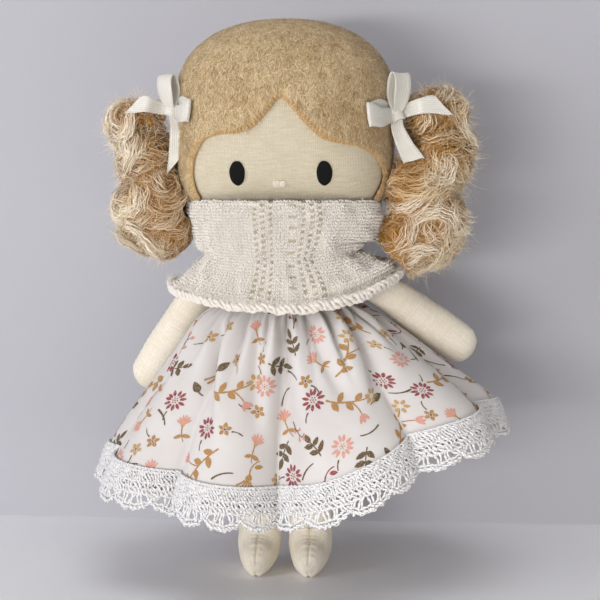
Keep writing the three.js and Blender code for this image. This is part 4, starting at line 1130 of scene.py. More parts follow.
@dataclass
class FeltCap:
    """The felt hair: a front piece cut round the face and a back piece, joined at the side seam.

    The hairline is given by places on the front view, from the right temple over the parting to
    the left temple.
    """

    hairline: tuple[tuple[float, float], ...] = (
        (-27.2, 121.8), (-28.7, 125.6), (-29.3, 130.5), (-28.1, 136.0), (-24.8, 140.8), (-19.5, 142.6),
        (-12.9, 143.0), (-8.2, 144.9), (-3.6, 149.6), (0.0, 153.6), (3.4, 150.9), (8.4, 145.4),
        (13.2, 141.3), (18.6, 139.7), (24.6, 138.8), (30.0, 135.7), (32.7, 131.0), (32.3, 126.8),
        (29.8, 121.8),
    )
    centre: tuple[float, float] = (0.0, 128.0)
    back_centre: tuple[float, float] = (0.0, 148.0)
    hem: float = 121.8
    columns: int = 320
    rows: int = 60
    edge_band: float = 2.3
    seam_groove: float = 0.45
    nap_fibres: int = 16500
    stitch_pitch: float = 1.25
    stitch_radius: float = 0.24
    seam_radius: float = 0.14
    rng: np.random.Generator = field(default_factory=lambda: np.random.default_rng(11))

    def edge(self) -> Array:
        """The hairline as a fine curve."""
        return spline(np.array(self.hairline), 600)

    def outline_radius(self, angle: Array, centre: tuple[float, float]) -> Array:
        """Distance from a centre to the felt's outline."""
        def inside(reach: Array) -> Array:
            """Whether points at such distances are still over the head."""
            x, z = centre[0] + reach * np.cos(angle), centre[1] + reach * np.sin(angle)
            return head_share(x, z, FELT_OUT) < 1

        return halved(np.zeros_like(angle), np.full_like(angle, 90.0), 40, inside)

    def groove(self, points: Array, normals: Array) -> Array:
        """The felt pulled in along the side seam, fading out over a millimetre."""
        return points - normals * self.seam_groove * bell(points[..., 1:2], 0.8)

    def front(self) -> tuple[Array, Array]:
        """Front felt and, for each of its points, how near the hairline it is.

        Each column runs from the hairline to the outline. The distance follows the sine of the
        share, so that the rows stay even where the felt turns away.
        """
        edge = self.edge()
        bearing = np.unwrap(np.arctan2(edge[:, 1] - self.centre[1], edge[:, 0] - self.centre[0]))
        angle = np.linspace(bearing[0], bearing[-1], self.columns)
        order = np.argsort(bearing)
        distance = np.hypot(edge[:, 0] - self.centre[0], edge[:, 1] - self.centre[1])
        near = np.interp(angle, bearing[order], distance[order])
        share = np.sin(np.linspace(0, 1, self.rows) * math.pi / 2)[:, None]
        reach = near + (self.outline_radius(angle, self.centre) - near) * share
        x = self.centre[0] + reach * np.cos(angle)
        z = np.maximum(self.centre[1] + reach * np.sin(angle), self.hem)
        points = placed(x, -head_depth(x, z, FELT_OUT), z)
        closeness = np.clip(1 - reached(points) / self.edge_band, 0, 1)
        normals = toward(grid_normals(points), points - [0, 0, HEAD_WIDEST_HEIGHT])
        points = self.groove(points, normals)
        thin = 0.75 * closeness ** 2
        pucker = 0.22 * closeness * (1 - closeness) * 4 * np.sin(angle * 95)[None]
        points = points - normals * (thin - pucker)[..., None]
        return points, closeness

    def back(self) -> Array:
        """Back felt, a whole disc of polar rows that ends at the hem."""
        angle = np.linspace(0, 2 * math.pi, self.columns, endpoint=False)
        share = np.sin(np.linspace(0.004, 1, self.rows) * math.pi / 2)[:, None]
        far = self.outline_radius(angle, self.back_centre)
        sine = np.minimum(np.sin(angle), -1e-6)
        down = np.where(np.sin(angle) < -1e-6, (self.hem - self.back_centre[1]) / sine, 1e9)
        reach = np.minimum(far, down)[None] * share
        x = self.back_centre[0] + reach * np.cos(angle)
        z = self.back_centre[1] + reach * np.sin(angle)
        y = head_depth(x, z, FELT_OUT)
        normals = unit(placed(x / 34.0 ** 2, y / 24.0 ** 2, (z - HEAD_WIDEST_HEIGHT) / 27.0 ** 2))
        return self.groove(placed(x, y, z), normals)

    def with_turned_edge(self, points: Array, closeness: Array) -> tuple[Array, Array]:
        """Add rows before the first that round the felt's cut edge down to the head.

        Args:
            points: The felt's outer face.
            closeness: Nearness to the hairline at each point.

        Returns:
            The longer grid and its nearness values.
        """
        rim, outward = points[0], unit(points[0] - points[1])
        down = placed(0, np.where(rim[:, 1] < 0, 1.0, -1.0), 0)
        turns = np.linspace(0, math.pi / 2, 5)[1:]
        radius = 0.45
        rows = [rim + outward * radius * math.sin(t) + down * radius * (1 - math.cos(t)) for t in turns]
        rows.append(rows[-1] + down * 0.9)
        tone = np.ones((len(rows), len(rim))) * closeness[0]
        return np.concatenate([np.stack(rows)[::-1], points]), np.concatenate([tone, closeness])

    def felt(self, name: str, points: Array, closeness: Array, node: str, wrap: bool) -> bpy.types.Object:
        """Make one felt piece."""
        part = grid_part(points, wrap_columns=wrap)
        middle = points.reshape(-1, 3).mean(axis=0) - [0, 0, 12]
        face = part.quads[len(part.quads) // 2]
        a, b, _, d = part.co[face]
        if np.dot(np.cross(b - a, d - a), a - middle) < 0:
            part.quads = part.quads[:, ::-1]
        part.tones = {"edge": closeness.ravel()}
        return dress(ROOT_BODY, part, name, FELT, node)

    def declare(self, trims: list[bpy.types.Object]
                ) -> None:
        """Work out how far the back piece's outline reaches left, right and up, and keep nothing.

        Args:
            trims: The nap and the stitches on it; not used.
        """
        left, right, top = self.outline_radius(np.array([math.pi, 0.0, math.pi / 2]), self.back_centre)

    def nap(self, name: str, points: Array, closeness: Array) -> bpy.types.Object:
        """Loose fibres, combed down with strays, paler in soft streaks."""
        count = self.nap_fibres
        spots, normal = scatter(points, count, self.rng, 0.25 + 0.75 * (closeness < 0.05))
        normal = toward(normal, spots - [0, 0, 145])
        comb = np.array([0, 0, -1.0]) + self.rng.normal(size=(count, 3)) * 0.6
        length = self.rng.uniform(1.0, 2.6, count)
        paths = lying_fibres(spots, normal, comb, length, 0.34, 0.45, self.rng)
        width = self.rng.uniform(0.04, 0.08, count)[:, None] * np.array([1.0, 0.9, 0.75, 0.3])
        part = tubes(paths, width, 2, facing=normal[:, None])
        streak = lattice_noise(spots * [1, 1, 0.4], 4.2, 5) * 0.32 + lattice_noise(spots, 24, 6) * 0.2
        shade = np.clip(0.5 + 0.5 * streak + self.rng.normal(size=count) * 0.34, 0, 1)
        part.tones["shade"] = np.repeat(shade, NAP_STEPS * 2)
        return dress(ROOT_BODY, part, name, NAP)

    def edge_stitches(self) -> bpy.types.Object:
        """Ochre hand stitches over the hairline: slanted bites joined by a thread along the edge."""
        rng = np.random.default_rng(4)
        edge = self.edge()
        length = np.linalg.norm(np.diff(edge, axis=0), axis=1).sum()
        count = int(length / self.stitch_pitch)
        along = resample(edge, count * 6)
        y = -head_depth(along[:, 0], along[:, 1], 0.0)
        line = np.stack([along[:, 0], y - 0.45, along[:, 1]], axis=1)
        flow = unit(np.gradient(line, axis=0))
        out = head_normal(along[:, 0], along[:, 1])
        up = toward(unit(np.cross(out, flow)), line - [0, -20, 128])
        cord = line + up * (0.35 * np.sin(np.arange(len(line)) * 2.1)[:, None] * 0.5) + out * 0.25
        parts = [tubes(cord[None], np.full((1, len(cord)), self.stitch_radius), 5)]
        start = np.arange(count) * 6
        reach = rng.uniform(1.2, 2.1, count)[:, None, None]
        slant = rng.uniform(-0.5, 0.9, count)[:, None, None]
        share = np.linspace(-0.18, 1, 8)[None, :, None]
        rise = 0.42 + 0.75 * np.sin(np.clip(share, 0, 1) * math.pi) ** 0.7
        paths = (line[start][:, None] + up[start][:, None] * share * reach
                 + flow[start][:, None] * slant * share + out[start][:, None] * rise)
        parts.append(tubes(paths, np.full(paths.shape[:2], self.stitch_radius), 5))
        return dress(ROOT_BODY, Part.joined(parts), "hairline_stitches", OCHRE)

    def seam_stitches(self) -> bpy.types.Object:
        """Small whip stitches over the side seam, up one side and down the other."""
        angle = np.linspace(math.radians(-62), math.radians(242), 190)
        reach = self.outline_radius(angle, (0.0, HEAD_WIDEST_HEIGHT))
        x, z = reach * np.cos(angle), HEAD_WIDEST_HEIGHT + reach * np.sin(angle)
        kept = z > self.hem + 1
        x, z, angle = x[kept], z[kept], angle[kept]
        share = np.linspace(-1, 1, 7)
        lift = 0.1 - 0.42 * np.exp(-(share / 0.5) ** 2) - 0.5 * share ** 4
        out, flow = placed(np.cos(angle), 0, np.sin(angle)), placed(-np.sin(angle), 0, np.cos(angle))
        paths = (placed(x, 0, z)[:, None] + out[:, None] * lift[None, :, None]
                 + flow[:, None] * share[None, :, None] * 0.5 + np.array([0, 1.0, 0]) * share[None, :, None])
        part = tubes(paths, np.full(paths.shape[:2], self.seam_radius), 4)
        return dress(ROOT_BODY, part, "cap_seam_stitches", OCHRE)

    def build(self) -> None:
        """Make both felt pieces, their nap and their stitches."""
        front, closeness = self.front()
        turned, tone = self.with_turned_edge(front, closeness)
        front_felt = self.felt("felt_cap_front", turned, tone, "hair_front", False)
        front_nap = self.nap("felt_nap_front", front, closeness)
        back = self.back()
        plain = np.zeros(back.shape[:2])
        back_felt = self.felt("felt_cap_back", back, plain, "hair_back", True)
        back_nap = self.nap("felt_nap_back", back, plain)
        self.declare([front_nap, self.edge_stitches()])
        self.declare([back_nap, self.seam_stitches()])


@dataclass
class SewnTube:
    """A stuffed linen limb: rings along it, with a seam that runs down two of its sides."""

    groove: float = 0.28
    groove_width: float = 0.55
    pucker: float = 0.1

    def seamed(self, rings: Array, seam_turns: tuple[float, ...]) -> Array:
        """Sink the skin along the seams and pucker the cloth beside them.

        Args:
            rings: Points of shape (rings, around, 3).
            seam_turns: Where round the ring the seams lie, in turns.

        Returns:
            The changed rings.
        """
        count, around = rings.shape[:2]
        middle = rings.mean(axis=1, keepdims=True)
        normals = toward(grid_normals(rings, wrap=True), rings - middle)
        girth, along = girths(rings)[:, None], reached(middle[:, 0])[:, None]
        turn = np.arange(around)[None] / around
        shift = np.zeros((count, around))
        for seam in seam_turns:
            away = np.abs((turn - seam + 0.5) % 1 - 0.5) * girth
            shift -= self.groove * bell(away, self.groove_width)
            ripple = np.sin(along * 2.9 + 1.3 * np.sin(along * 0.7)) * bell(away - 1.3, 1.1)
            shift += self.pucker * ripple
        return rings + normals * (shift + 0.1 * lattice_noise(rings, 9, 21))[..., None]


@dataclass
class Arm(SewnTube):
    """One arm, hung from the shoulder seam and a little wider at the hand."""

    side: Side = Side.RIGHT
    spread: float = RIGHT_ARM_SPREAD
    around: int = 80
    length_steps: int = 100

    def direction(self) -> Array:
        """Unit direction from the shoulder to the hand."""
        lean, back = math.radians(self.spread), math.radians(ARM_BACK_TILT)
        return np.array([self.side.value * math.sin(lean) * math.cos(back), math.sin(back),
                         -math.cos(lean) * math.cos(back)])

    def rings(self) -> Array:
        """Circles along the arm: a round shoulder, a slow taper and a round hand."""
        down = self.direction()
        first = unit(np.cross(down, [0, 1.0, 0]))
        second = np.cross(down, first)
        turn = np.linspace(0.03, math.pi / 2, 26)
        quarter = np.stack([np.cos(turn), np.sin(turn)])
        root = ARM_ROOT_RADIUS * quarter * [[-1], [1]]
        steps = np.linspace(0, ARM_LENGTH, self.length_steps)[1:-1]
        shaft = np.stack([steps, arm_radius(steps)])
        hand = ARM_HAND_RADIUS * quarter[:, ::-1] + [[ARM_LENGTH], [0]]
        along, radius = np.hstack([root, shaft, hand])
        angle = circle(self.around)
        ring = first * np.cos(angle)[:, None] + second * np.sin(angle)[:, None]
        points = down * along[:, None, None] + ring[None] * radius[:, None, None]
        points[..., 1] *= ARM_DEPTH_SHARE
        return points + [self.side.value * SHOULDER_OUT, 0, SHOULDER_HEIGHT]

    def build(self) -> None:
        """Make the arm."""
        name, seams = f"{self.side.label}_arm", (0.0, 0.5)
        part = capped_tube(self.seamed(self.rings(), seams))
        part.tones = {"seam": seam_tone(part, self.around, seams)}
        dress(name, part, f"{name}_linen", LINEN, name)


def arm_radius(along: Array) -> Array:
    """Radius of an arm at a distance from the shoulder."""
    share = smooth(along, 0, ARM_LENGTH * 0.8)
    return ARM_ROOT_RADIUS + (ARM_HAND_RADIUS - ARM_ROOT_RADIUS) * share


def seam_tone(part: Part, around: int, seams: tuple[float, ...]) -> Array:
    """How near each point of a tube is to a seam, from 0 to 1."""
    count = len(part.co) - 2
    turn = (np.arange(count) % around) / around
    tone = np.zeros(count)
    for seam in seams:
        away = np.abs((turn - seam + 0.5) % 1 - 0.5)
        tone = np.maximum(tone, bell(away, 0.012))
    return np.concatenate([tone, [0, 0]])


def ellipses(half_width: Array, half_depth: Array, around: int) -> Array:
    """Ellipses of shape (rings, around, 2)."""
    angle = circle(around)
    return np.stack([half_width[:, None] * np.cos(angle), half_depth[:, None] * np.sin(angle)], axis=-1)


@dataclass
class Torso:
    """The stuffed body under the clothes. Rows are height, half width and half depth."""

    rows: tuple[tuple[float, float, float], ...] = (
        (74.3, 17.5, 9.6), (75.9, 19.5, 11.7), (81.4, 20.3, 13.0), (89.0, 17.5, 12.0), (94.5, 17.5, 12.0),
        (98.0, 19.0, 11.5), (104.5, 17.5, 10.6), (108.4, 11.8, 9.2), (111.0, 7.6, 7.4), (116.0, 7.0, 7.0),
        (122.0, 7.0, 7.0),
    )
    around: int = 96

    def build(self) -> None:
        """Make the torso."""
        z, half_width, half_depth = spline(np.array(self.rows), 90).T
        ring = ellipses(half_width - 0.02, half_depth - 0.02, self.around)
        part = capped_tube(placed(ring[..., 0], ring[..., 1], z[:, None]))
        dress(ROOT_BODY, part, "torso_linen", LINEN, "torso")


@dataclass
class Leg(SewnTube):
    """One leg: pinched flat at the hip, round below, with a seam down the front to the toe.

    Rows are the section's middle (y and z), its pitch in degrees, half width and half depth.
    """

    side: Side = Side.RIGHT
    rows: tuple[tuple[float, float, float, float, float], ...] = (
        (0, 73.9, 0, 7.4, 0.7), (0, 73.3, 0, 7.9, 2.3), (0, 71.9, 0, 7.9, 3.5), (0, 70, 0, 7.9, 4.0),
        (0, 61.6, 0, 7.3, 6.2), (0, 43.4, 0, 7.2, 7.2), (0, 22.4, 0, 7.2, 7.0), (0.3, 15, 8, 7.2, 7.2),
        (-0.6, 10, 32, 7.2, 8.5), (-2.6, 7.4, 58, 7.1, 8.5), (-7.1, 5.8, 78, 6.3, 6.3),
        (-11.9, 4.9, 86, 5.0, 5.2), (-15.3, 4.2, 90, 3.2, 3.6), (-16.8, 3.8, 90, 1.3, 1.6),
    )
    around: int = 96
    sections: int = 130
    stitch_count: int = 46
    stitch_radius: float = 0.11
    groove: float = 0.42
    groove_width: float = 0.5
    pucker: float = 0.16

    def rings(self) -> Array:
        """Sections down the shin and out along the foot, each an ellipse pitched about the level axis."""
        rows = spline(np.array(self.rows, float) * [1, 1, 0.25, 1, 1], self.sections)
        y, z, pitch, half_width, half_depth = rows.T
        tilt = np.radians(pitch / 0.25)[:, None]
        across, along = ellipses(np.maximum(half_width, 0.2), np.maximum(half_depth, 0.2), self.around).T
        across, along = across.T, along.T
        return placed(self.side.value * HIP_OUT + across, y[:, None] + along * np.cos(tilt),
                      z[:, None] - along * np.sin(tilt))

    def stood(self, rings: Array) -> Array:
        """Let the foot down so that the sole is flat on the floor, more the lower it is."""
        lowest = rings[..., 2].min()
        share = smooth(rings[..., 2], 0, HIP_HEIGHT * 0.5)
        rings[..., 2] = (rings[..., 2] - lowest - 0.5) * (1 - share) + rings[..., 2] * share
        rings[..., 2] = np.maximum(rings[..., 2], 0.02)
        return rings

    def stitches(self, rings: Array) -> Part:
        """Short uneven stitches across the front seam."""
        rng = np.random.default_rng(31 + self.side.value)
        column = int(self.around * 0.75)
        line = rings[16:-10, column]
        spots = resample(line, self.stitch_count)
        flow = unit(np.gradient(spots, axis=0))
        out = toward(unit(np.cross(flow, [1.0, 0, 0])), [0, -1, 0.3])
        share = np.linspace(-1, 1, 5)[None, :, None]
        wide = rng.uniform(0.25, 0.6, (len(spots), 1, 1))
        slant = rng.uniform(-0.5, 0.5, (len(spots), 1, 1))
        paths = (spots[:, None] + np.array([1.0, 0, 0]) * share * wide + flow[:, None] * share * slant
                 + out[:, None] * (0.36 - 0.12 * share ** 2))
        return tubes(paths, np.full(paths.shape[:2], self.stitch_radius), 4)

    def build(self) -> None:
        """Make the leg and its seam stitches."""
        name, seams = f"{self.side.label}_leg", (0.25, 0.75)
        rings = self.stood(self.seamed(self.rings(), seams))
        part = capped_tube(rings)
        part.tones = {"seam": seam_tone(part, self.around, seams)}
        dress(name, part, f"{name}_linen", LINEN, name)
        dress(name, self.stitches(rings), f"{name}_seam", CREAM)


class SheetTable:
    """A smooth sheet round the doll, kept as a fine grid that is read between its points."""

    def __init__(self, points: Array) -> None:
        """Keep the grid, its outward normals and its girth at each row."""
        self.points = points
        self.rows, self.columns = points.shape[:2]
        normals = grid_normals(points, wrap=True)
        level = points * [1, 1, 0]
        facing = np.sign((normals * level).sum(axis=-1).mean())
        self.normals = normals * facing
        around = np.linalg.norm(np.roll(points, -1, axis=1) - points, axis=-1)
        self.per_turn = around.sum(axis=1)
        self.metric = around * self.columns

    def read(self, table: Array, turn: Array, row: Array) -> Array:
        """Values of a table between its points: the four neighbours weighted by nearness."""
        turn, row = np.broadcast_arrays(np.asarray(turn, float), np.asarray(row, float))
        place = (turn % 1.0) * self.columns
        c = np.floor(place).astype(int)
        fc = place - c
        c0, c1 = c % self.columns, (c + 1) % self.columns
        row = np.clip(row, 0, self.rows - 1.001)
        r = np.floor(row).astype(int)
        fr = row - r
        if table.ndim == 3:
            fc, fr = fc[..., None], fr[..., None]
        upper = table[r, c0] * (1 - fc) + table[r, c1] * fc
        lower = table[r + 1, c0] * (1 - fc) + table[r + 1, c1] * fc
        return upper * (1 - fr) + lower * fr

    def at(self, turn: Array, row: Array, out: Array | float = 0.0) -> Array:
        """Points off the sheet by a distance along its normal."""
        off = np.asarray(out, float)[..., None] if np.ndim(out) else out
        return self.read(self.points, turn, row) + unit(self.read(self.normals, turn, row)) * off


def round_waist(angle: Array, reach: Array, height: Array | float) -> Array:
    """Points round the waist, at a distance out from the body's outline there."""
    x, y = (WAIST_HALF_WIDTH + reach) * np.cos(angle), (WAIST_HALF_DEPTH + reach) * np.sin(angle)
    return placed(x, y, height)


@dataclass
class SkirtCloth:
    """The gathered cloth, as a function of where round the waist and how far down it is.

    The cloth leaves the casing with a puff, slopes out by a flare that depends on the side of the
    doll, and turns down at the hem. Folds widen toward the hem and small gathers fade out below the
    casing. Where an arm lies on the cloth, the cloth is pressed in until it clears the arm.
    """

    turns: int = 1440
    row_step: float = 0.5
    length: float = 77.0
    gather_count: int = 27
    gather_depth: float = 5.5
    arm_gap: float = 2.45
    pinch_seed: int = 8

    def flare(self, angle: Array) -> Array:
        """Slope of the cloth from the vertical, in radians."""
        c, s = np.cos(angle), np.sin(angle)
        side = FLARE_RIGHT + (FLARE_LEFT - FLARE_RIGHT) * smooth(c, -0.5, 0.5)
        face = FLARE_FRONT + (FLARE_BACK - FLARE_FRONT) * smooth(s, -0.5, 0.5)
        sideways = np.abs(np.cos(angle + np.sign(c) * math.radians(FLARE_FORWARD)))
        return np.radians(face + (side - face) * sideways ** 1.6)

    def hang(self, angle: Array, along: Array) -> tuple[Array, Array]:
        """How far the cloth has run out and dropped at a length down from the casing."""
        flare = self.flare(angle)
        steps = 12
        taken = along * (1 - LEFT_TAKE_UP * smooth(np.cos(angle), 0.2, 0.85))
        run, drop = np.zeros_like(along + flare), np.zeros_like(along + flare)
        for k in range(steps):
            share = (k + 0.5) / steps * along / PANEL_LENGTH
            puff = math.radians(PUFF_ANGLE) * np.cos(flare) * (1 - smooth(share, 0, 0.22))
            turn_in = smooth(share, 0.78, 1)
            slope = (flare + puff) * (1 - turn_in) + math.radians(HEM_ANGLE) * turn_in
            run += np.sin(slope) * taken / steps
            drop += np.cos(slope) * taken / steps
        return run, drop

    def ripples(self, angle: Array, along: Array) -> Array:
        """Folds, gathers and creases, in millimetres out from the plain slope.

        Folds and gathers are powers of |cos|, so their ridges are round and their valleys narrow.
        """
        share = along / PANEL_LENGTH
        wander = 0.35 * np.sin(2 * angle + 0.8) + 0.22 * np.sin(3 * angle)
        wave = np.abs(np.cos((FOLD_COUNT * angle + 3 * wander) / 2)) ** 0.8
        fold = FOLD_DEPTH * smooth(share, 0.05, 0.9) * (2.3 * wave - 1.45)
        rng = np.random.default_rng(self.pinch_seed)
        phase = sum(rng.uniform(0.2, 0.8) * np.sin(k * angle + rng.uniform(0, 6.28)) for k in (1, 2, 3, 5, 7))
        size = 1 + 0.35 * np.sin(7 * angle + 1.3) + 0.3 * np.sin(11 * angle + 0.2)
        pleat = np.abs(np.cos((self.gather_count * angle + phase) / 2)) ** 0.6
        reach = 0.56 + 0.14 * np.sin(5 * angle + 0.6) + 0.12 * np.sin(9 * angle + 2)
        held = 0.4 + 0.6 * smooth(share, 0.02, 0.13)
        gather = self.gather_depth * size * held * (pleat - 0.75) * (1 - smooth(share, 0.14, reach))
        fine = 1.0 * np.cos(61 * angle + 2 * phase) * (1 - smooth(share, 0.0, 0.22))
        return fold + gather + fine + self.creases(angle, along)

    def creases(self, angle: Array, along: Array) -> Array:
        """Long creases: a narrow valley with a ridge beside it, from one angle to another."""
        out = np.zeros_like(angle + along)
        for top, bottom, first, last, depth in CREASES:
            share = np.clip((along - top) / (bottom - top), -0.3, 1.2)
            middle = np.radians(first + (last - first) * share)
            away = (np.remainder(angle - middle + math.pi, 2 * math.pi) - math.pi) * (22 + 0.55 * along)
            width = 1.3 + 0.035 * along
            strength = smooth(share, -0.25, 0.25) * (1 - smooth(share, 0.6, 1.15))
            out -= depth * strength * (bell(away, width) - 0.55 * bell(away - 2.2 * width, 1.5 * width))
        return out

    def table(self) -> SheetTable:
        """The whole cloth and the lace's hang below it, as a fine grid."""
        angle = circle(self.turns)[None]
        along = np.arange(0, self.length, self.row_step)[:, None]
        run, drop = self.hang(angle, along)
        reach = WAIST_OUT + run + self.ripples(angle, along)
        return SheetTable(self.pressed(round_waist(angle, reach, SKIRT_TOP - drop)))

    def arm_clearance(self, points: Array) -> Array:
        """How far points lie outside the nearer arm."""
        nearest = np.full(points.shape[:-1], 1e9)
        for side, spread in ((Side.RIGHT, RIGHT_ARM_SPREAD), (Side.LEFT, LEFT_ARM_SPREAD)):
            down = Arm(side=side, spread=spread).direction()
            shoulder = np.array([side.value * SHOULDER_OUT, 0, SHOULDER_HEIGHT])
            along = np.clip((points - shoulder) @ down, 0, ARM_LENGTH + self.arm_gap)
            gap = np.linalg.norm(points - shoulder - down * along[..., None], axis=-1) - arm_radius(along)
            nearest = np.minimum(nearest, gap)
        return nearest

    def pressed(self, points: Array) -> Array:
        """Cloth drawn in toward the doll's axis where an arm is in its way."""
        blocked = self.arm_clearance(points) < self.arm_gap
        stuck = points[blocked]

        def drawn(share: Array) -> Array:
            """The points at a share of their distance from the axis."""
            return stuck * (1 + (share[:, None] - 1) * np.array([1.0, 1.0, 0.0]))

        def clear(share: Array) -> Array:
            """Whether they are then clear of the arm."""
            return self.arm_clearance(drawn(share)) >= self.arm_gap

        points = points.copy()
        points[blocked] = drawn(halved(np.full(len(stuck), 0.3), np.ones(len(stuck)), 12, clear))
        return points

    def row(self, along: Array | float) -> Array:
        """Row of the table at a length down."""
        return np.asarray(along, float) / self.row_step


@dataclass
class Stroke:
    """One printed stroke: a spine in millimetres of cloth, its half width along it, and its ink."""

    spine: Array
    half: Array
    ink: int

    def at(self, share: float) -> tuple[float, float]:
        """The spine's point at a share of its length."""
        x, y = self.spine[int(share * (len(self.spine) - 1))]
        return (float(x), float(y))


class Ink(Enum):
    """The print's inks, as the order in which the ink material holds them."""

    BURGUNDY = 0
    PINK = 1
    OCHRE = 2
    BROWN = 3
    SAND = 4


class Motifs:
    """Small flowers and leaves for a tossed print, drawn as strokes round their own middle."""

    def __init__(self, seed: int) -> None:
        """Start the random draws."""
        self.rng = np.random.default_rng(seed)

    @staticmethod
    def spine(start: tuple[float, float], heading: Array, length: float) -> Array:
        """Points from a start, in even steps along the headings."""
        steps = np.stack([np.cos(heading[:-1]), np.sin(heading[:-1])], axis=1)
        return start + np.vstack([[0, 0], np.cumsum(steps, axis=0)]) * (length / (len(heading) - 1))

    @staticmethod
    def ring(count: int, reach: float, turn: float, middle: tuple[float, float] = (0, 0)
             ) -> list[tuple[tuple[float, float], float]]:
        """Places round a middle, each with its bearing from there."""
        bearings = [2 * math.pi * k / count + turn for k in range(count)]
        return [((middle[0] + math.cos(b) * reach, middle[1] + math.sin(b) * reach), b) for b in bearings]

    def line(self, start: tuple[float, float], bearing: float, length: float, bend: float, half: float,
             ink: Ink, taper: float = 0.4) -> Stroke:
        """A curved line: its bearing turns evenly by ``bend`` radians over its length."""
        count = max(4, int(length / 0.6) + 1)
        share = np.linspace(0, 1, count)
        width = half * (1 - taper * share) * (1 + 0.12 * self.rng.normal(size=count))
        return Stroke(self.spine(start, bearing + bend * share, length), np.maximum(width, 0.1), ink.value)

    def leaf(self, start: tuple[float, float], bearing: float, length: float, half: float, ink: Ink,
             blunt: float = 0.8) -> Stroke:
        """A leaf or petal: its half width follows a sine of the share to a power, so it is blunt if low."""
        count = max(6, int(length / 0.45) + 1)
        share = np.linspace(0, 1, count)
        bend = self.rng.normal() * 0.12
        width = half * np.sin(np.pi * share ** 0.85) ** blunt + 0.04
        width *= 1 + 0.06 * self.rng.normal(size=count)
        return Stroke(self.spine(start, bearing + bend * (share - 0.5), length), width, ink.value)

    def dot(self, x: float, y: float, radius: float, ink: Ink) -> Stroke:
        """A round dot."""
        return self.leaf((x - radius, y), 0.0, 2 * radius, radius, ink, 0.5)

    def daisy(self) -> list[Stroke]:
        """A round daisy: two rings of slim petals round a dotted middle, on a short stem."""
        petals = 11
        ink = Ink.BURGUNDY if self.rng.random() < 0.65 else Ink.PINK
        strokes = []
        for k in range(petals):
            bearing = 2 * math.pi * k / petals + self.rng.normal() * 0.05
            start = (math.cos(bearing) * 1.45, math.sin(bearing) * 1.45)
            strokes.append(self.leaf(start, bearing, 2.4 + self.rng.normal() * 0.12, 0.5, ink, 0.6))
        strokes += [self.dot(*spot, 0.24, ink) for spot, _ in self.ring(6, 0.85, 0.3)]
        strokes.append(self.dot(0, 0, 0.32, Ink.OCHRE))
        strokes.append(self.line((0.4, -4.2), -1.5, 3.4, 0.7, 0.24, Ink.BROWN))
        return strokes

    def blossom(self) -> list[Stroke]:
        """A five-petalled blossom with round petals."""
        ink = Ink.OCHRE if self.rng.random() < 0.6 else Ink.SAND
        strokes = [self.leaf(spot, bearing, 1.9, 0.62, ink, 0.6) for spot, bearing in self.ring(5, 0.45, 0.3)]
        strokes.append(self.dot(0, 0, 0.36, Ink.BROWN))
        strokes.append(self.line((0.2, -2.4), -1.2, 4.0, -0.9, 0.24, Ink.BROWN))
        return strokes

    def leafy_sprig(self) -> list[Stroke]:
        """A short stem with leaves in pairs and one at its tip."""
        ink = Ink.BROWN if self.rng.random() < 0.72 else Ink.OCHRE
        stem = self.line((0, -4.2), 1.5, 5.0, 0.35, 0.2, ink, 0.2)
        strokes = [stem, self.leaf(stem.at(1), 1.75, 3.3, 0.74, ink)]
        for share, turn in ((0.3, 1.0), (0.85, 1.15)):
            for side in (-1, 1):
                length = 3.2 - share * 0.4 + self.rng.normal() * 0.2
                strokes.append(self.leaf(stem.at(share), 1.6 + side * turn, length, 0.72, ink))
        return strokes

    def berry_sprig(self) -> list[Stroke]:
        """A bowed stem with round berries on short stalks."""
        stem = self.line((-2.4, -3.4), 1.0, 7.8, 0.8, 0.2, Ink.BROWN, 0.3)
        berry = Ink.PINK if self.rng.random() < 0.6 else Ink.BURGUNDY
        strokes = [stem, self.dot(*stem.at(1), 0.72, berry)]
        for side, share in ((-1, 0.3), (1, 0.5), (-1, 0.7), (1, 0.86)):
            stalk = self.line(stem.at(share), 1.5 + side * 0.9, 1.7, side * 0.2, 0.15, Ink.BROWN)
            strokes += [stalk, self.dot(*stalk.at(1), 0.62, berry)]
        return strokes

    def bell(self) -> list[Stroke]:
        """A hanging bell: a cup of three outlined petals with stamens, on a curved stem with a leaf."""
        ink = Ink.OCHRE if self.rng.random() < 0.7 else Ink.BURGUNDY
        strokes = [self.line((0, 1.6), 1.9, 5.2, -1.5, 0.22, ink, 0.2)]
        strokes.append(self.leaf((0, -0.3), 1.57, 2.2, 0.95, ink, 0.7))
        for lean in (-0.62, -0.3, 0.0, 0.3, 0.62):
            bearing, length = -math.pi / 2 + lean, 3.1 - abs(lean)
            petal = self.line((lean * 1.3, -0.1), bearing, length, lean * 0.5, 0.24, ink, 0.1)
            strokes += [petal, self.dot(*petal.at(1), 0.34, ink)]
        strokes.append(self.leaf((0.6, 4.0), 0.3, 2.6, 0.6, ink))
        return strokes

    def tuft(self) -> list[Stroke]:
        """A half-open flower: petals fan up from a small cup on a stem with two leaves."""
        strokes = []
        for lean in (-1.0, -0.6, -0.2, 0.2, 0.6, 1.0):
            strokes.append(self.leaf((0, 0), math.pi / 2 + lean, 3.5 - abs(lean) * 0.7, 0.42, Ink.PINK, 0.7))
        strokes.append(self.dot(0, -0.1, 0.7, Ink.SAND))
        stem = self.line((0, -0.6), -1.5, 5.4, 0.4, 0.22, Ink.OCHRE)
        strokes += [stem, self.leaf(stem.at(0.6), -0.3, 2.6, 0.62, Ink.OCHRE)]
        strokes.append(self.leaf(stem.at(0.6), 3.6, 2.4, 0.58, Ink.OCHRE))
        return strokes

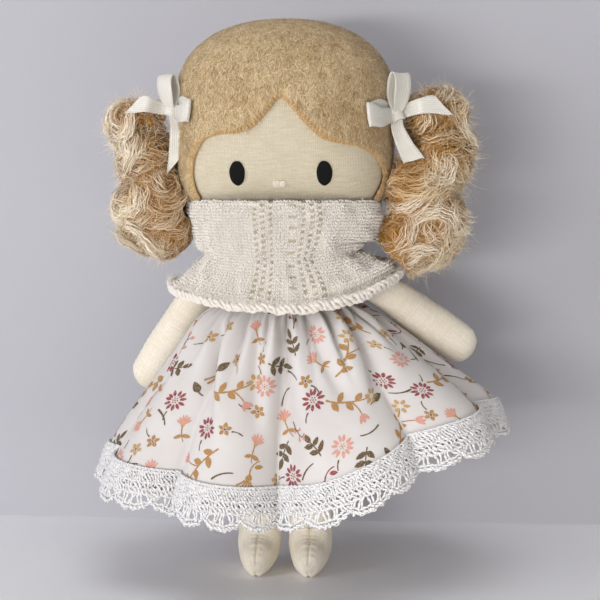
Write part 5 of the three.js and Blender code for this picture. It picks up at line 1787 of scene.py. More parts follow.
    def branch(self) -> list[Stroke]:
        """A long branch with alternate leaves that forks and ends in a blossom and a bud."""
        stem = self.line((-3.0, -6.4), 1.15, 12.5, 0.55, 0.26, Ink.OCHRE, 0.3)
        strokes = [stem]
        for side, share in ((-1, 0.16), (1, 0.34), (-1, 0.52), (1, 0.7)):
            strokes.append(self.leaf(stem.at(share), 1.45 + side * 0.95, 3.5 - share, 0.85, Ink.OCHRE))
        x, y = stem.at(1)
        for start, bearing in self.ring(6, 0.7, 0.2, (x, y + 1.2)):
            strokes.append(self.leaf(start, bearing, 1.9, 0.55, Ink.SAND, 0.65))
        twig = self.line(stem.at(0.6), 0.7, 4.6, -0.5, 0.2, Ink.OCHRE)
        for lean in (-0.5, 0.0, 0.5):
            strokes.append(self.leaf(twig.at(1), 0.25 + lean, 2.7, 0.5, Ink.PINK, 0.7))
        return strokes + [twig]

    def stray_leaf(self) -> list[Stroke]:
        """One leaf by itself, or a short bowed stem."""
        if self.rng.random() < 0.5:
            blade = self.leaf((-1.7, 0), 0.0, 3.4, 0.92, Ink.BROWN)
            return [blade, self.line((-1.7, 0), 3.3, 1.3, 0.3, 0.2, Ink.BROWN)]
        return [self.line((-2.6, 0), 0.5, 5.4, -0.9, 0.26, Ink.BROWN, 0.5)]


@dataclass
class Skirt:
    """The gathered skirt: its printed panel, the folded casing and the elastic inside."""

    columns: int = 400
    row_step: float = 1.1
    thickness: float = 0.5
    ink_lift: float = 0.06
    cloth: SkirtCloth = field(default_factory=SkirtCloth)
    table: SheetTable = field(init=False)

    def __post_init__(self) -> None:
        """Work out the cloth."""
        self.table = self.cloth.table()

    def panel(self, trims: list[bpy.types.Object]) -> None:
        """The panel: an outer face down to the hem, a turned edge, and an inner face back up.

        Args:
            trims: The print and the lace, which are pieces on the panel; not used.
        """
        along = np.linspace(0, PANEL_LENGTH, int(PANEL_LENGTH / self.row_step) + 1)
        turn = np.arange(self.columns)[None] / self.columns
        outer = self.table.at(turn, self.cloth.row(along)[:, None], -0.02)
        inner = self.table.at(turn, self.cloth.row(along)[:, None], -self.thickness)
        points = np.concatenate([outer, inner[::-1]])
        hem_row = int(self.cloth.row(PANEL_LENGTH))
        arc = np.cumsum(self.table.metric[hem_row]) / self.table.columns
        across = np.interp(turn[0] * self.table.columns, np.arange(self.table.columns), arc)
        down = np.concatenate([along, along[::-1]])
        uv = np.stack(np.broadcast_arrays(across[None], down[:, None]), axis=-1) * UV_PER_MM
        part = grid_part(points, uv, wrap_columns=True, wrap_rows=True)
        part.quads = part.quads[:, ::-1]
        panel = dress(ROOT_BODY, part, "skirt_cotton", COTTON, "skirt_panel")
        hem = self.table.at(turn[0], np.full(self.columns, float(hem_row)))

    def layout(self) -> list[tuple[float, float, float, float, list[Stroke]]]:
        """Where each motif goes: turn, length down, bearing, size and strokes.

        Places are drawn at random, largest motifs first, and kept where they clear the others.
        """
        motifs = Motifs(17)
        rng = motifs.rng
        kinds = ((motifs.branch, 8.0, 16, 1.15), (motifs.bell, 5.2, 18, 1.1), (motifs.tuft, 5.2, 18, 1.0),
                 (motifs.daisy, 4.4, 30, 0.95), (motifs.leafy_sprig, 4.8, 46, 1.15),
                 (motifs.berry_sprig, 4.4, 12, 1.0), (motifs.blossom, 3.1, 36, 0.95),
                 (motifs.stray_leaf, 2.6, 60, 1.3))
        laid: list[tuple[float, float, float, float, list[Stroke]]] = []
        spots, radii = np.zeros((0, 3)), np.zeros(0)
        for draw, radius, count, size in kinds:
            for _ in range(count * 14):
                if count <= 0:
                    break
                turn, along = rng.random(), 63 * math.sqrt(rng.random())
                if along < 1.5:
                    continue
                place = self.table.at(turn, self.cloth.row(along))
                if len(spots) and (np.linalg.norm(spots - place, axis=1) < (radii + radius) * 0.86).any():
                    continue
                spots, radii = np.vstack([spots, place]), np.append(radii, radius)
                bearing = rng.normal() * 0.75 + (math.pi if rng.random() < 0.25 else 0)
                laid.append((turn, along, bearing, size, draw()))
                count -= 1
        return laid

    def print(self) -> bpy.types.Object:
        """The print: strokes laid a hair above the cloth, cut off at its edges."""
        parts, inks, turns, rows = [], [], [], []
        lanes = np.array([-1.0, -0.34, 0.34, 1.0])
        offset = 0
        for turn, along, bearing, size, strokes in self.layout():
            metric = float(self.table.read(self.table.metric, turn, self.cloth.row(along)))
            c, s = math.cos(bearing), math.sin(bearing)
            for stroke in strokes:
                flow = unit(np.gradient(stroke.spine, axis=0))
                side = np.stack([-flow[:, 1], flow[:, 0]], axis=1)
                off = lanes[None, :, None] * stroke.half[:, None, None]
                flat = stroke.spine[:, None] + side[:, None] * off
                x = (flat[..., 0] * c - flat[..., 1] * s) * size
                y = (flat[..., 0] * s + flat[..., 1] * c) * size
                turns.append((turn + x / metric).ravel())
                rows.append(np.clip(along - y, 0.3, PANEL_LENGTH - 0.2).ravel())
                parts.append(grid_quads(len(flat), len(lanes)) + offset)
                offset += flat.shape[0] * flat.shape[1]
                inks.append(np.full(flat.shape[0] * flat.shape[1], float(stroke.ink)))
        co = self.table.at(np.concatenate(turns), self.cloth.row(np.concatenate(rows)), self.ink_lift)
        part = Part(co, np.vstack(parts), tones={"ink": np.concatenate(inks)})
        return dress(ROOT_BODY, part, "skirt_print", INK)

    def casing(self) -> None:
        """The waist casing, ruffled over its elastic, as a wall folded over at the top."""
        angle = circle(self.columns)
        ruffle = 0.3 * np.cos(self.cloth.gather_count * angle) + 0.12 * np.cos(53 * angle)
        section = [(0.35, 89.75), (0.35, 94.0), (0.7, 94.3), (2.4, 94.3), (2.85, 94.0), (2.85, 89.75),
                   (2.35, 89.75), (2.35, 93.6), (0.9, 93.6), (0.9, 89.75)]
        rings = []
        for out, height in section:
            loose = ruffle * (out > 1.0)
            rings.append(round_waist(angle, out + loose * 0.8, height + 0.1 * loose))
        points = np.stack(rings)
        part = grid_part(points, points[..., [0, 2]] * UV_PER_MM, wrap_columns=True, wrap_rows=True)
        dress(ROOT_BODY, part, "waist_casing_cotton", COTTON, "waist_casing")
        ribs = 0.06 * np.cos(140 * angle)
        corners = ((1.25, 90.1), (1.25, 93.3), (1.95, 93.3), (1.95, 90.1))
        band = [round_waist(angle, out + ribs, height) for out, height in corners]
        elastic = grid_part(np.stack(band), wrap_columns=True, wrap_rows=True)
        dress(ROOT_BODY, elastic, "waist_elastic_band", ELASTIC, "waist_elastic")

    def build(self) -> None:
        """Make the casing, the print, the lace and the panel."""
        self.casing()
        self.panel([self.print(), Lace(self).build()])


@dataclass
class Lace:
    """Crochet edging in silky beaded thread: a heading, a dense band, a net, and roped scallops.

    A place in the lace is a scallop number, with the notch at whole numbers, and millimetres down.
    """

    skirt: Skirt
    seat: float = 0.8
    thread: float = 0.33
    heading: float = 0.5
    band_top: float = 1.5
    band_bottom: float = 4.4
    net_bottom: float = 8.4
    notch: float = 10.2
    bottom: float = 12.9

    def place(self, scallop: Array, down: Array, out: Array | float = 0.0) -> Array:
        """Points of the lace, a little uneven as handwork is."""
        uneven = 0.2 * np.sin(scallop * 21.7 + 3 * np.sin(scallop * 1.9))
        uneven = uneven + 0.14 * np.sin(scallop * 47.1 + down)
        lean = 0.03 * np.sin(scallop * 13.1 + down * 0.9)
        turn = 0.25 + (scallop + lean) / SCALLOPS
        row = self.skirt.cloth.row(LACE_TOP + down + uneven * smooth(down, 1, 5))
        return self.skirt.table.at(turn, row, self.seat + out + 0.16 * np.sin(scallop * 31 + down * 2))

    def strands(self, scallop: Array, down: Array, out: Array | float, beads: float, size: float,
                closed: bool = False) -> Part:
        """Beaded threads through places: each radius swells where a stitch lies."""
        points = self.place(scallop, down, out)
        steps = np.arange(points.shape[1])
        radii = self.thread * size * (1 + beads * np.sin(steps * 2.1 + np.arange(len(points))[:, None]))
        return tubes(points, radii, 3, closed=closed)

    def rope(self, down: float, swing: float = 0.26, size: float = 1.0) -> list[Part]:
        """A row of chain stitches right round: two threads that twist about each other."""
        steps = 26
        scallop = np.arange(SCALLOPS * steps)[None] / steps
        turn = scallop * steps * (2 * math.pi / 4)
        return [self.strands(scallop, down + swing * np.sin(turn + phase), swing * np.cos(turn + phase), 0.2,
                             size, closed=True) for phase in (0.0, math.pi)]

    def bars(self, starts: Array, ends: Array, steps: int, beads: float, size: float, bulge: float) -> Part:
        """Threads between places given as scallop and millimetres down, repeated in every scallop."""
        share = np.linspace(0, 1, steps)[None, :, None]
        path = starts[:, None] * (1 - share) + ends[:, None] * share
        number = np.arange(SCALLOPS)[:, None, None]
        scallop = (number + path[None, :, :, 0]).reshape(-1, steps)
        down = np.broadcast_to(path[None, :, :, 1], (SCALLOPS, len(starts), steps)).reshape(-1, steps)
        lift = np.broadcast_to(bulge * np.sin(np.pi * share[..., 0]), scallop.shape)
        return self.strands(scallop, down, lift, beads, size)

    def lattice(self, top: float, bottom: float, count: int, size: float, bulge: float) -> list[Part]:
        """Threads that lean both ways between two rows."""
        spot = np.arange(count) / count
        made = []
        for way in (1, -1):
            starts = np.stack([spot, np.full(count, top)], axis=1)
            ends = np.stack([spot + way * 0.9 / count, np.full(count, bottom)], axis=1)
            made.append(self.bars(starts, ends, 3, 0.4, size, way * bulge))
        return made

    def scallop_edge(self, across: Array) -> Array:
        """How far down the scallop's edge lies at a share of its width."""
        return self.notch + (self.bottom - self.notch) * np.abs(np.sin(np.pi * across)) ** 0.6

    def arc(self, inset: float, swing: float, size: float, twist: float) -> list[Part]:
        """A rope that follows every scallop's edge at a distance inside it."""
        steps = 30
        share = np.linspace(0, 1, steps)[None]
        number = np.arange(SCALLOPS)[:, None]
        down = self.scallop_edge(share) - inset
        made = []
        for phase in (0.0, math.pi):
            turn = share * steps * (2 * math.pi / twist) + phase
            made.append(self.strands(number + share, down + swing * np.sin(turn) + 0 * number,
                                     np.broadcast_to(swing * np.cos(turn), (SCALLOPS, steps)), 0.25, size))
        return made

    def fan(self) -> list[Part]:
        """Posts of two threads from the net to the scallop's edge, which leave windows between them."""
        across = np.array([0.04, 0.27, 0.5, 0.73, 0.96])
        made = []
        for shift in (-0.028, 0.028):
            top = np.stack([0.5 + (across - 0.5) * 0.8 + shift * 1.4, np.full(5, self.net_bottom)], axis=1)
            rim = np.stack([across + shift, self.scallop_edge(np.clip(across, 0.06, 0.94)) - 0.7], axis=1)
            made.append(self.bars(top, rim, 7, 0.35, 1.2, 0.2))
        made += self.arc(0.0, 0.34, 1.3, 5.5) + self.arc(1.15, 0.2, 1.1, 4.5)
        return made

    def picots(self) -> Part:
        """Small loops that hang from the scallop's edge."""
        across = np.linspace(0.12, 0.88, 6)
        steps = 9
        turn = np.linspace(0.3, 2 * math.pi - 0.3, steps)
        number = np.arange(SCALLOPS)[:, None, None]
        side = np.sin(turn)[None, None] * 0.5 / 12.0
        drop = (1 - np.cos(turn))[None, None] * 0.34 + 0.2
        scallop = (number + across[None, :, None] + side).reshape(-1, steps)
        down = self.scallop_edge(across)[None, :, None] + drop + 0 * number
        return self.strands(scallop, down.reshape(-1, steps), 0.05, 0.1, 0.85)

    def build(self) -> bpy.types.Object:
        """Make the lace and return its piece."""
        parts = self.rope(self.heading) + self.rope(self.band_top, 0.24)
        parts += self.lattice(self.heading, self.band_top, 10, 1.0, 0.15)
        middle = (self.band_top + self.band_bottom) / 2
        net_middle = (self.band_bottom + self.net_bottom) / 2 + 0.3
        parts += self.lattice(self.band_top, middle, 14, 1.15, 0.2)
        parts += self.lattice(middle, self.band_bottom, 13, 1.15, 0.2)
        parts += self.rope(self.band_bottom + 0.3, 0.3, 1.15)
        parts += self.lattice(self.band_bottom + 0.6, net_middle, 9, 1.15, 0.25)
        parts += self.rope(net_middle, 0.2, 0.85)
        parts += self.lattice(net_middle, self.net_bottom, 9, 1.15, 0.25)
        parts += self.rope(self.net_bottom, 0.22, 1.0)
        parts += self.fan()
        parts.append(self.picots())
        return dress(ROOT_BODY, Part.joined(parts), "crochet_lace", LACE, "lace_trim")


def out_of_head(points: Array, side: Side, grow: float) -> Array:
    """Points moved sideways until they are clear of the head and the cowl."""
    points = points.copy()
    step = 0.9
    for _ in range(24):
        x, y, z = points[..., 0], points[..., 1], points[..., 2]
        in_head = (np.abs(y) < head_depth(x, z, grow) - 0.02) & (head_share(x, z, grow) < 1) & (z > 118)
        half = np.interp(z, COWL_CLEAR_HEIGHTS, COWL_CLEAR_WIDTHS)
        across, deep = np.abs(x / (half + grow)), np.abs(y / (half * 0.68 + grow))
        inside = in_head | ((z < 122) & (across ** COWL_POWER + deep ** COWL_POWER < 1))
        if not inside.any():
            break
        points[..., 0] += np.where(inside, side.value * step, 0)
    return points


@dataclass
class Bunch:
    """One bunch of curly mohair: a packed core, curling locks laid over it, and loose ends.

    The mass is a smooth union of ellipsoids. Its distance is -ln(sum of exp(-k d)) / k over the
    distances d to the ellipsoids. Each lock walks over the mass, turning at its own even rate, and
    a lock's fibres share a crimp, a sine wave along the lock.
    """

    side: Side
    lobes: tuple[tuple[float, ...], ...]
    seed: int
    fall: float = 1.0
    locks: int = 84
    fibres: int = 61
    steps: int = 16
    sharpness: float = 0.8
    fibre_radius: float = 0.09
    loose: int = 4400
    loose_radius: float = 0.042
    tie_turns: int = 4
    tie_radius: float = 0.24
    centres: Array = field(init=False)
    sizes: Array = field(init=False)

    def __post_init__(self) -> None:
        """Turn the lobes into middles and half sizes in space."""
        out, below, half_width, half_height, depth = np.array(self.lobes).T
        below, half_width, half_height = below * self.fall, half_width - 1.1, half_height - 1.1
        self.centres = placed(self.side.value * (BUNCH_OUT + out), 0.6 * np.sin(below), BUNCH_HEIGHT - below)
        self.sizes = placed(half_width, BUNCH_HALF_DEPTH * depth, half_height)

    def field(self, points: Array) -> tuple[Array, Array]:
        """Distance to the mass's surface, and the outward direction, at points."""
        q = points[..., None, :] - self.centres
        near = np.linalg.norm(q / self.sizes, axis=-1)
        slope = q / self.sizes ** 2
        steep = np.linalg.norm(slope, axis=-1) + 1e-9
        distance = near * (near - 1) / steep
        weight = np.exp(-self.sharpness * np.clip(distance, -20, 40))
        total = weight.sum(axis=-1)
        normal = unit((slope / steep[..., None] * weight[..., None]).sum(axis=-2))
        return -np.log(total) / self.sharpness, normal

    def on_mass(self, points: Array, height: Array | float = 0.0) -> tuple[Array, Array]:
        """Points brought to a height above the mass by two steps along its outward direction."""
        for _ in range(2):
            distance, normal = self.field(points)
            points = points - normal * (distance - height)[..., None]
        return points, normal

    def starts(self, rng: np.random.Generator, count: int) -> Array:
        """Even random places on the mass, away from the head."""
        skin = self.sizes[:, 0] * self.sizes[:, 2]
        lobe = rng.choice(len(self.lobes), size=count * 6, p=skin / skin.sum())
        ray = unit(rng.normal(size=(count * 6, 3)))
        points, _ = self.on_mass(self.centres[lobe] + ray * self.sizes[lobe])
        head_side = np.interp(points[:, 2], (100, 112, 125, 150, 165), (39, 32, 35, 37, 35))
        away = points[:, 0] * self.side.value > head_side
        seen = rng.random(len(points)) < np.where(points[:, 1] < 4, 1.0, 0.6)
        picked = points[away & seen]
        chosen = [0]
        nearest = np.linalg.norm(picked - picked[0], axis=1)
        while len(chosen) < min(count, len(picked)):
            far = int(np.argmax(nearest * rng.uniform(0.7, 1.0, len(picked))))
            chosen.append(far)
            nearest = np.minimum(nearest, np.linalg.norm(picked - picked[far], axis=1))
        return picked[chosen]

    def walk(self, start: Array, length: Array, curl: Array, height: Array, rng: np.random.Generator
             ) -> tuple[Array, Array]:
        """Centre lines of locks over the mass, and the outward directions along them."""
        place, normal = self.on_mass(start, height[:, 0])
        fall = np.array([0.0, 0.0, -1.0]) + rng.normal(size=(len(start), 3)) * [0.9, 0.9, 0.7]
        flow = square_to(fall, normal)
        step = length / (self.steps - 1)
        places, normals = [place], [normal]
        for k in range(1, self.steps):
            turn = curl * step * (0.5 + 1.1 * k / self.steps)
            side = np.cross(normal, flow)
            flow = flow * np.cos(turn)[:, None] + side * np.sin(turn)[:, None]
            place, normal = self.on_mass(place + flow * step[:, None], height[:, k])
            flow = square_to(flow, normal)
            places.append(place)
            normals.append(normal)
        return np.stack(places, axis=1), np.stack(normals, axis=1)

    def lock_fibres(self, centre: Array, normal: Array, thick: Array, rng: np.random.Generator
                    ) -> tuple[Array, Array]:
        """Paths of all the fibres of locks, and how deep in its lock each point lies."""
        count, steps = centre.shape[:2]
        share = np.linspace(0, 1, steps)
        flow = unit(np.gradient(centre, axis=1))
        across = np.cross(normal, flow)
        out = np.sqrt(rng.random((2, count, self.fibres, 1)))[0]
        begin = rng.uniform(0, 6.283, (count, self.fibres, 1))
        angle = begin + rng.normal(size=(count, 1, 1)) * 2.2 * share
        swell = (0.38 + 0.62 * np.sin(np.pi * np.clip(share * 1.04, 0, 1)) ** 0.6)[None, None]
        radius = out * thick[:, None, None] * swell
        u, v = np.cos(angle) * radius, np.sin(angle) * radius * 0.72
        wave = rng.uniform(3.4, 5.6, (count, 1, 1))
        length = np.linalg.norm(np.diff(centre, axis=1), axis=2).sum(axis=1)[:, None, None]
        phase = share * length / wave * 2 * math.pi + rng.uniform(0, 6.28, (count, 1, 1))
        phase = phase + rng.normal(size=(count, self.fibres, 1)) * 0.9
        crimp = rng.uniform(0.1, 0.5, (count, self.fibres, 1))
        u, v = u + crimp * np.sin(phase), v + crimp * 0.7 * np.cos(phase)
        frizz = rng.normal(size=(count, self.fibres, steps, 3)) * 0.15
        frizz[:, :, 1:] += frizz[:, :, :-1] * 0.7
        ends = (smooth(share, 0.6, 1.0) + 0.5 * smooth(1 - share, 0.75, 1.0))[None, None, :, None]
        stray = rng.normal(size=(count, self.fibres, 1, 3)) * ends * 1.3
        path = centre[:, None] + across[:, None] * u[..., None] + normal[:, None] * v[..., None]
        return path + frizz + stray, 0.5 - 0.5 * np.sin(angle) * out

    def clumps(self, name: str, seed: int, height: tuple[float, float], thick: tuple[float, float],
               length: tuple[float, float]) -> None:
        """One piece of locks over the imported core, with limits of their height, thickness and length."""
        rng = np.random.default_rng(seed)
        start = self.starts(rng, self.locks)
        count = len(start)
        share = np.linspace(0, 1, self.steps)
        arch = 2.3 * np.sin(np.pi * share)[None]
        lift = rng.uniform(*height, (count, 1)) + arch * rng.uniform(0.1, 1, (count, 1))
        lift = lift - 1.7 * smooth(share, 0.75, 1.0)[None] * rng.uniform(0, 1, (count, 1))
        free = (rng.random((count, 1)) < 0.2) & (start[:, 2:] < BUNCH_HEIGHT + 2)
        lift = lift + free * 3.6 * smooth(share, 0.5, 1.0)[None] * rng.uniform(0.4, 1, (count, 1))
        curl = rng.choice((-1, 1), size=count) / rng.uniform(5.0, 12.0, count)
        centre, normal = self.walk(start, rng.uniform(*length, count), curl, lift, rng)
        path, deep = self.lock_fibres(centre, normal, rng.uniform(*thick, count), rng)
        points = out_of_head(path.reshape(-1, self.steps, 3), self.side, 2.0)
        gap, _ = self.field(points)
        buried = np.clip(0.86 - gap / 3.5, 0, 1)
        facing = np.repeat(normal, self.fibres, axis=0).reshape(points.shape)
        width = np.full(points.shape[:2], self.fibre_radius) * (1 - 0.55 * smooth(share, 0.8, 1))[None]
        width = width * rng.uniform(0.7, 1.35, (len(points), 1))
        part = tubes(points, width, 2, facing=facing + rng.normal(size=(len(points), 1, 3)) * 0.5)
        # Painted shade: fibres are browned on the inner side of their lock, close to the mass and near the
        # head.
        near_head = 1 - smooth(points[..., 0] * self.side.value, 34, 54)
        valley = 0.5 * deep.reshape(points.shape[:2]) ** 1.5 + 1.25 * buried + 0.5 * near_head
        valley = np.repeat(smooth(valley, 0.1, 1.15).ravel(), 2)
        lock_shade = np.repeat(rng.random(count), self.fibres)[:, None] * 0.7
        lock_shade = lock_shade + rng.random((len(points), 1)) * 0.3
        shade = np.repeat(np.broadcast_to(lock_shade, points.shape[:2]).ravel(), 2)
        part.tones = {"deep": valley, "shade": np.clip(shade, 0, 1)}
        dress(self.body, part, name, MOHAIR, self.body)

    @property
    def body(self) -> str:
        """Name of the bunch's body, which is its CAD node's name too."""
        return f"{self.side.label}_bunch"

    def core(self) -> None:
        """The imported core: each ellipsoid with a swirled, lumpy skin, a little inside the mass."""
        parts = []
        for centre, size in zip(self.centres, self.sizes):
            polar = np.linspace(0.01, math.pi - 0.01, 44)[:, None]
            turn = circle(72)[None]
            ray = placed(np.sin(polar) * np.cos(turn), np.sin(polar) * np.sin(turn), np.cos(polar))
            place = centre + ray * (size - 2.0)
            swirl, fine = lattice_noise(place, 3.2, self.seed), lattice_noise(place, 1.1, self.seed + 1)
            place = place + ray * (1.8 * swirl + 0.7 * fine)[..., None]
            parts.append(grid_part(out_of_head(place, self.side, 2.1)[:, ::-1], wrap_columns=True))
        # The core's browns paint the shade seen between the locks.
        dress(self.body, Part.joined(parts), f"{self.body}_core", CORE_PAINTED_SHADE, self.body)

    def loose_hairs(self) -> None:
        """Single hairs that stand off the mass and curl."""
        rng = np.random.default_rng(self.seed + 40)
        start = self.starts(rng, 260)
        start = np.repeat(start, self.loose // len(start) + 1, axis=0)[: self.loose]
        start = start + rng.normal(size=start.shape) * 2.0
        steps = 8
        share = np.linspace(0, 1, steps)[None, :, None]
        place, normal = self.on_mass(start, 0.6)
        drift = unit(rng.normal(size=place.shape) + normal * 1.3 + [0, 0, -0.5])
        reach = rng.gamma(2.6, 0.85, (len(place), 1, 1)) + 1.3
        bend = unit(rng.normal(size=place.shape))[:, None]
        turn = rng.uniform(0, 6.28, (len(place), 1, 1))
        path = place[:, None] + drift[:, None] * share * reach
        path = path + bend * (np.sin(share * 5 + turn) - np.sin(turn)) * 0.11 * reach
        path = path + rng.normal(size=path.shape) * 0.06
        path = out_of_head(path, self.side, 2.0)
        part = tubes(path, np.broadcast_to(self.loose_radius * (1 - 0.5 * share[..., 0]), path.shape[:2]), 2)
        shade = np.repeat(rng.random(len(path)), steps * 2)
        part.tones = {"deep": np.full(len(part.co), 0.12), "shade": shade}
        dress(self.body, part, f"{self.body}_loose", MOHAIR, self.body)

    def tie(self) -> None:
        """The thread wound round the bunch's root: a few turns side by side."""
        steps = 160
        angle = np.linspace(0, 2 * math.pi * self.tie_turns, steps)
        radius = 2.75 + 0.25 * np.sin(angle / self.tie_turns / 2)
        x = self.side.value * (BUNCH_OUT + (angle / (2 * math.pi * self.tie_turns) - 0.5) * 0.9)
        path = placed(x, radius * np.cos(angle), BUNCH_HEIGHT + radius * np.sin(angle))
        part = tubes(path[None], np.full((1, steps), self.tie_radius), 6)
        dress(self.body, part, f"{self.body}_tie_thread", OCHRE, f"{self.body}_tie")

    def build(self) -> None:
        """Make the bunch."""
        self.core()
        self.clumps(f"{self.body}_locks_low", self.seed + 10, (-2.0, -0.4), (2.4, 3.4), (13, 24))
        self.clumps(f"{self.body}_locks_top", self.seed + 20, (-1.2, 0.6), (2.0, 3.2), (12, 25))
        self.loose_hairs()
        self.tie()


def slanted(along: Array, cut: float) -> Array:
    """How far a ribbon's width lines lean toward its end, so that the end is cut at a slant."""
    return cut * smooth(along, along[-1] - 9, along[-1])


def ribbon_frame(centre: Array, across: Array) -> tuple[Array, Array]:
    """Directions along a ribbon, and of its width square to them."""
    flow = unit(np.gradient(centre, axis=0))
    return flow, square_to(across, flow)


def evened(values: Array, reach: int) -> Array:
    """Each value replaced by the mean of those within a reach on both sides."""
    count = 2 * reach + 1
    return np.convolve(np.pad(values, reach, mode="edge"), np.ones(count) / count, mode="valid")


def ribbon(centre: Array, across: Array, width: Array, thickness: float = 0.3, cut: float = 0.0) -> Part:
    """A flat ribbon of satin along a line, a little cupped, with UVs in centimetres of cloth.

    Args:
        centre: Points along the middle.
        across: Direction of the ribbon's width at each point.
        width: Full width at each point.
        thickness: How thick the ribbon is drawn.
        cut: How far one corner of the end stands out beyond the middle.
    """
    lanes = np.linspace(-0.5, 0.5, 9)
    flow, across = ribbon_frame(centre, across)
    face = np.cross(across, flow)
    cup = 0.25 * (1 - (2 * lanes) ** 2)
    middle = centre[:, None] + across[:, None] * (lanes[None, :, None] * width[:, None, None])
    middle = middle + face[:, None] * cup[None, :, None]
    along = reached(centre)
    middle = middle + flow[:, None] * (slanted(along, cut)[:, None] * lanes[None] * 2)[..., None]
    top, bottom = middle + face[:, None] * thickness / 2, middle - face[:, None] * thickness / 2
    part = capped_tube(np.concatenate([bottom, top[:, ::-1]], axis=1))
    lane = np.concatenate([lanes, lanes[::-1]])[None]
    uv = np.stack(np.broadcast_arrays(lane * width[:, None], along[:, None]), axis=-1) * UV_PER_MM
    uv = uv.reshape(-1, 2)
    part.uv = np.vstack([uv, uv[:1], uv[-1:]])
    return part


def selvedge(centre: Array, across: Array, width: Array, cut: float) -> Part:
    """The row of small woven picots along both edges of a ribbon."""
    pitch = 0.78
    along = reached(centre)
    count = max(4, int(along[-1] / pitch))
    flow, across = ribbon_frame(centre, across)
    wide = width[:, None]
    made = []
    for edge in (-1, 1):
        lean = flow * (slanted(along, cut) * edge * 0.97)[:, None]
        line = resample(centre + across * wide * 0.5 * edge * 0.97 + lean, count)
        side = resample(across, count)
        run = unit(np.gradient(line, axis=0))
        axes = np.stack([run * 0.28, unit(side) * 0.25, unit(np.cross(run, side)) * 0.28], axis=1)
        made.append(ovals(line, axes, 4, 6))
    return Part.joined(made)


@dataclass
class Bow:
    """A satin bow: two loops, two tails and a knot, in front of where a bunch starts.

    Lines are drawn on the front plane, and their depth comes from what they lie on: the felt, or
    the hair beyond it.
    """

    side: Side
    knot: tuple[float, float]
    up: tuple[float, float, float]
    inner: tuple[tuple[float, float, float, float], ...]
    tails: tuple[tuple[tuple[float, float, float, float], ...], ...]
    cuts: tuple[float, float]
    droop: float = 2.8

    def seat(self, x: Array, z: Array) -> Array:
        """Depth of the surface under the bow: of the felt, or of the hair beyond it."""
        felt = head_depth(x, z, FELT_OUT)
        hair = 12.4 * smooth(x, 35.5, 43)
        return -np.maximum(np.maximum(felt, hair), 8.2)

    def strand(self, stops: tuple[tuple[float, float, float, float], ...]) -> tuple[Array, Array, Array]:
        """Middle line, width directions and widths from stops of x, z, height off the seat and width."""
        line = spline(np.array(stops)[:, :3], 48)
        width = spline(np.repeat(np.array(stops)[:, 3:], 3, axis=1), 48)[:, 0]
        depth = evened(self.seat(line[:, 0], line[:, 1]) - line[:, 2], 6)
        place = placed(self.side.value * line[:, 0], depth, line[:, 1])
        flow = unit(np.gradient(place, axis=0))
        return place, unit(np.cross(flow, [0, 1.0, 0])), width

    def flat_loop(self) -> tuple[Array, Array, Array]:
        """The inner loop: the ribbon goes out behind, folds over and comes back in front.

        The layers meet along one upright fold. Between it and the knot they part by a raised cosine.
        """
        place, turned, width = self.strand(self.inner)
        part = (1 - np.cos(2 * np.pi * np.linspace(0.0, 1.0, len(place))))[:, None] / 2
        out = place + [0, 0.3, 0] + part * [0, 0, 0.6 * self.droop]
        back = (place + [0, -1.0, 0] - part * [0, 0.5, 0.4 * self.droop])[::-1]
        share = np.linspace(0, 1, 16)[1:-1, None]
        bend = out[-1] * (1 - share) + back[0] * share
        flow = unit(place[-1] - place[-2])
        bend = bend + flow * np.sin(np.pi * share) * 0.4
        across = np.vstack([turned, np.repeat(turned[-1:], len(share), axis=0), turned[::-1]])
        widths = np.concatenate([width, np.full(len(share), width[-1]), width[::-1]])
        return np.vstack([out, bend, back]), across, widths

    def open_loop(self) -> tuple[Array, Array, Array]:
        """The upper loop, seen nearly along its plane: its face shows, and a slot beside it."""
        lean, height, half = self.up
        turn = np.linspace(0.0, 2 * math.pi, 96)
        rise = height * (1 - np.cos(turn)) / 2
        bulge = half * np.sin(turn) * np.sin(turn / 2) ** 0.6
        tilt, facing = math.radians(lean), math.radians(58)
        beside, before = bulge * math.cos(facing), bulge * math.sin(facing)
        x = self.knot[0] + beside * math.cos(tilt) + rise * math.sin(tilt)
        z = self.knot[1] + 0.6 + beside * math.sin(tilt) + rise * math.cos(tilt)
        depth = evened(self.seat(np.full_like(x, self.knot[0]), z) - 3.4, 8) - before
        place = placed(self.side.value * x, depth, z)
        plain = np.array([-math.sin(facing) * self.side.value, -math.cos(facing), 0])
        across = np.repeat(unit(plain)[None], len(turn), axis=0)
        width = 2.6 + 3.2 * smooth(np.sin(turn / 2), 0.05, 0.75)
        return place, across, width

    def tie(self) -> Part:
        """The knot: a short band wrapped round the middle, over a soft core."""
        around = np.linspace(0, 2 * math.pi, 40)
        middle = self.seat(np.array(self.knot[0]), np.array(self.knot[1])) - 2.2
        centre = np.array([self.side.value * self.knot[0], float(middle), self.knot[1]])
        lean = np.array([0.94 * self.side.value, 0, 0.34])
        up = np.array([-0.34 * self.side.value, 0, 0.94])
        before = np.array([0, 1.0, 0])
        path = centre + lean * (1.9 * np.cos(around))[:, None] + before * (1.7 * np.sin(around))[:, None]
        band = ribbon(path, np.repeat(up[None], 40, axis=0), 3.9 + 0.4 * np.cos(2 * around), 0.5)
        core = ovals(centre[None], np.array([[lean * 1.7, [0, 1.4, 0], up * 1.9]]), 18, 24)
        core.uv = core.co[:, [0, 2]] * UV_PER_MM
        return Part.joined([band, core])

    def build(self) -> None:
        """Make the bow."""
        name = f"{self.side.label}_bow"
        strips = [(*self.flat_loop(), 0.0), (*self.open_loop(), 0.0)]
        strips += [(*self.strand(stops), cut) for stops, cut in zip(self.tails, self.cuts)]
        satin, dots = [self.tie()], []
        for place, across, width, cut in strips:
            satin.append(ribbon(place, across, width, cut=cut))
            dots.append(selvedge(place, across, width, cut))
        dress(ROOT_BODY, Part.joined(satin), f"{name}_satin", SATIN, name)
        dress(ROOT_BODY, Part.joined(dots), f"{name}_selvedge", SATIN, name)


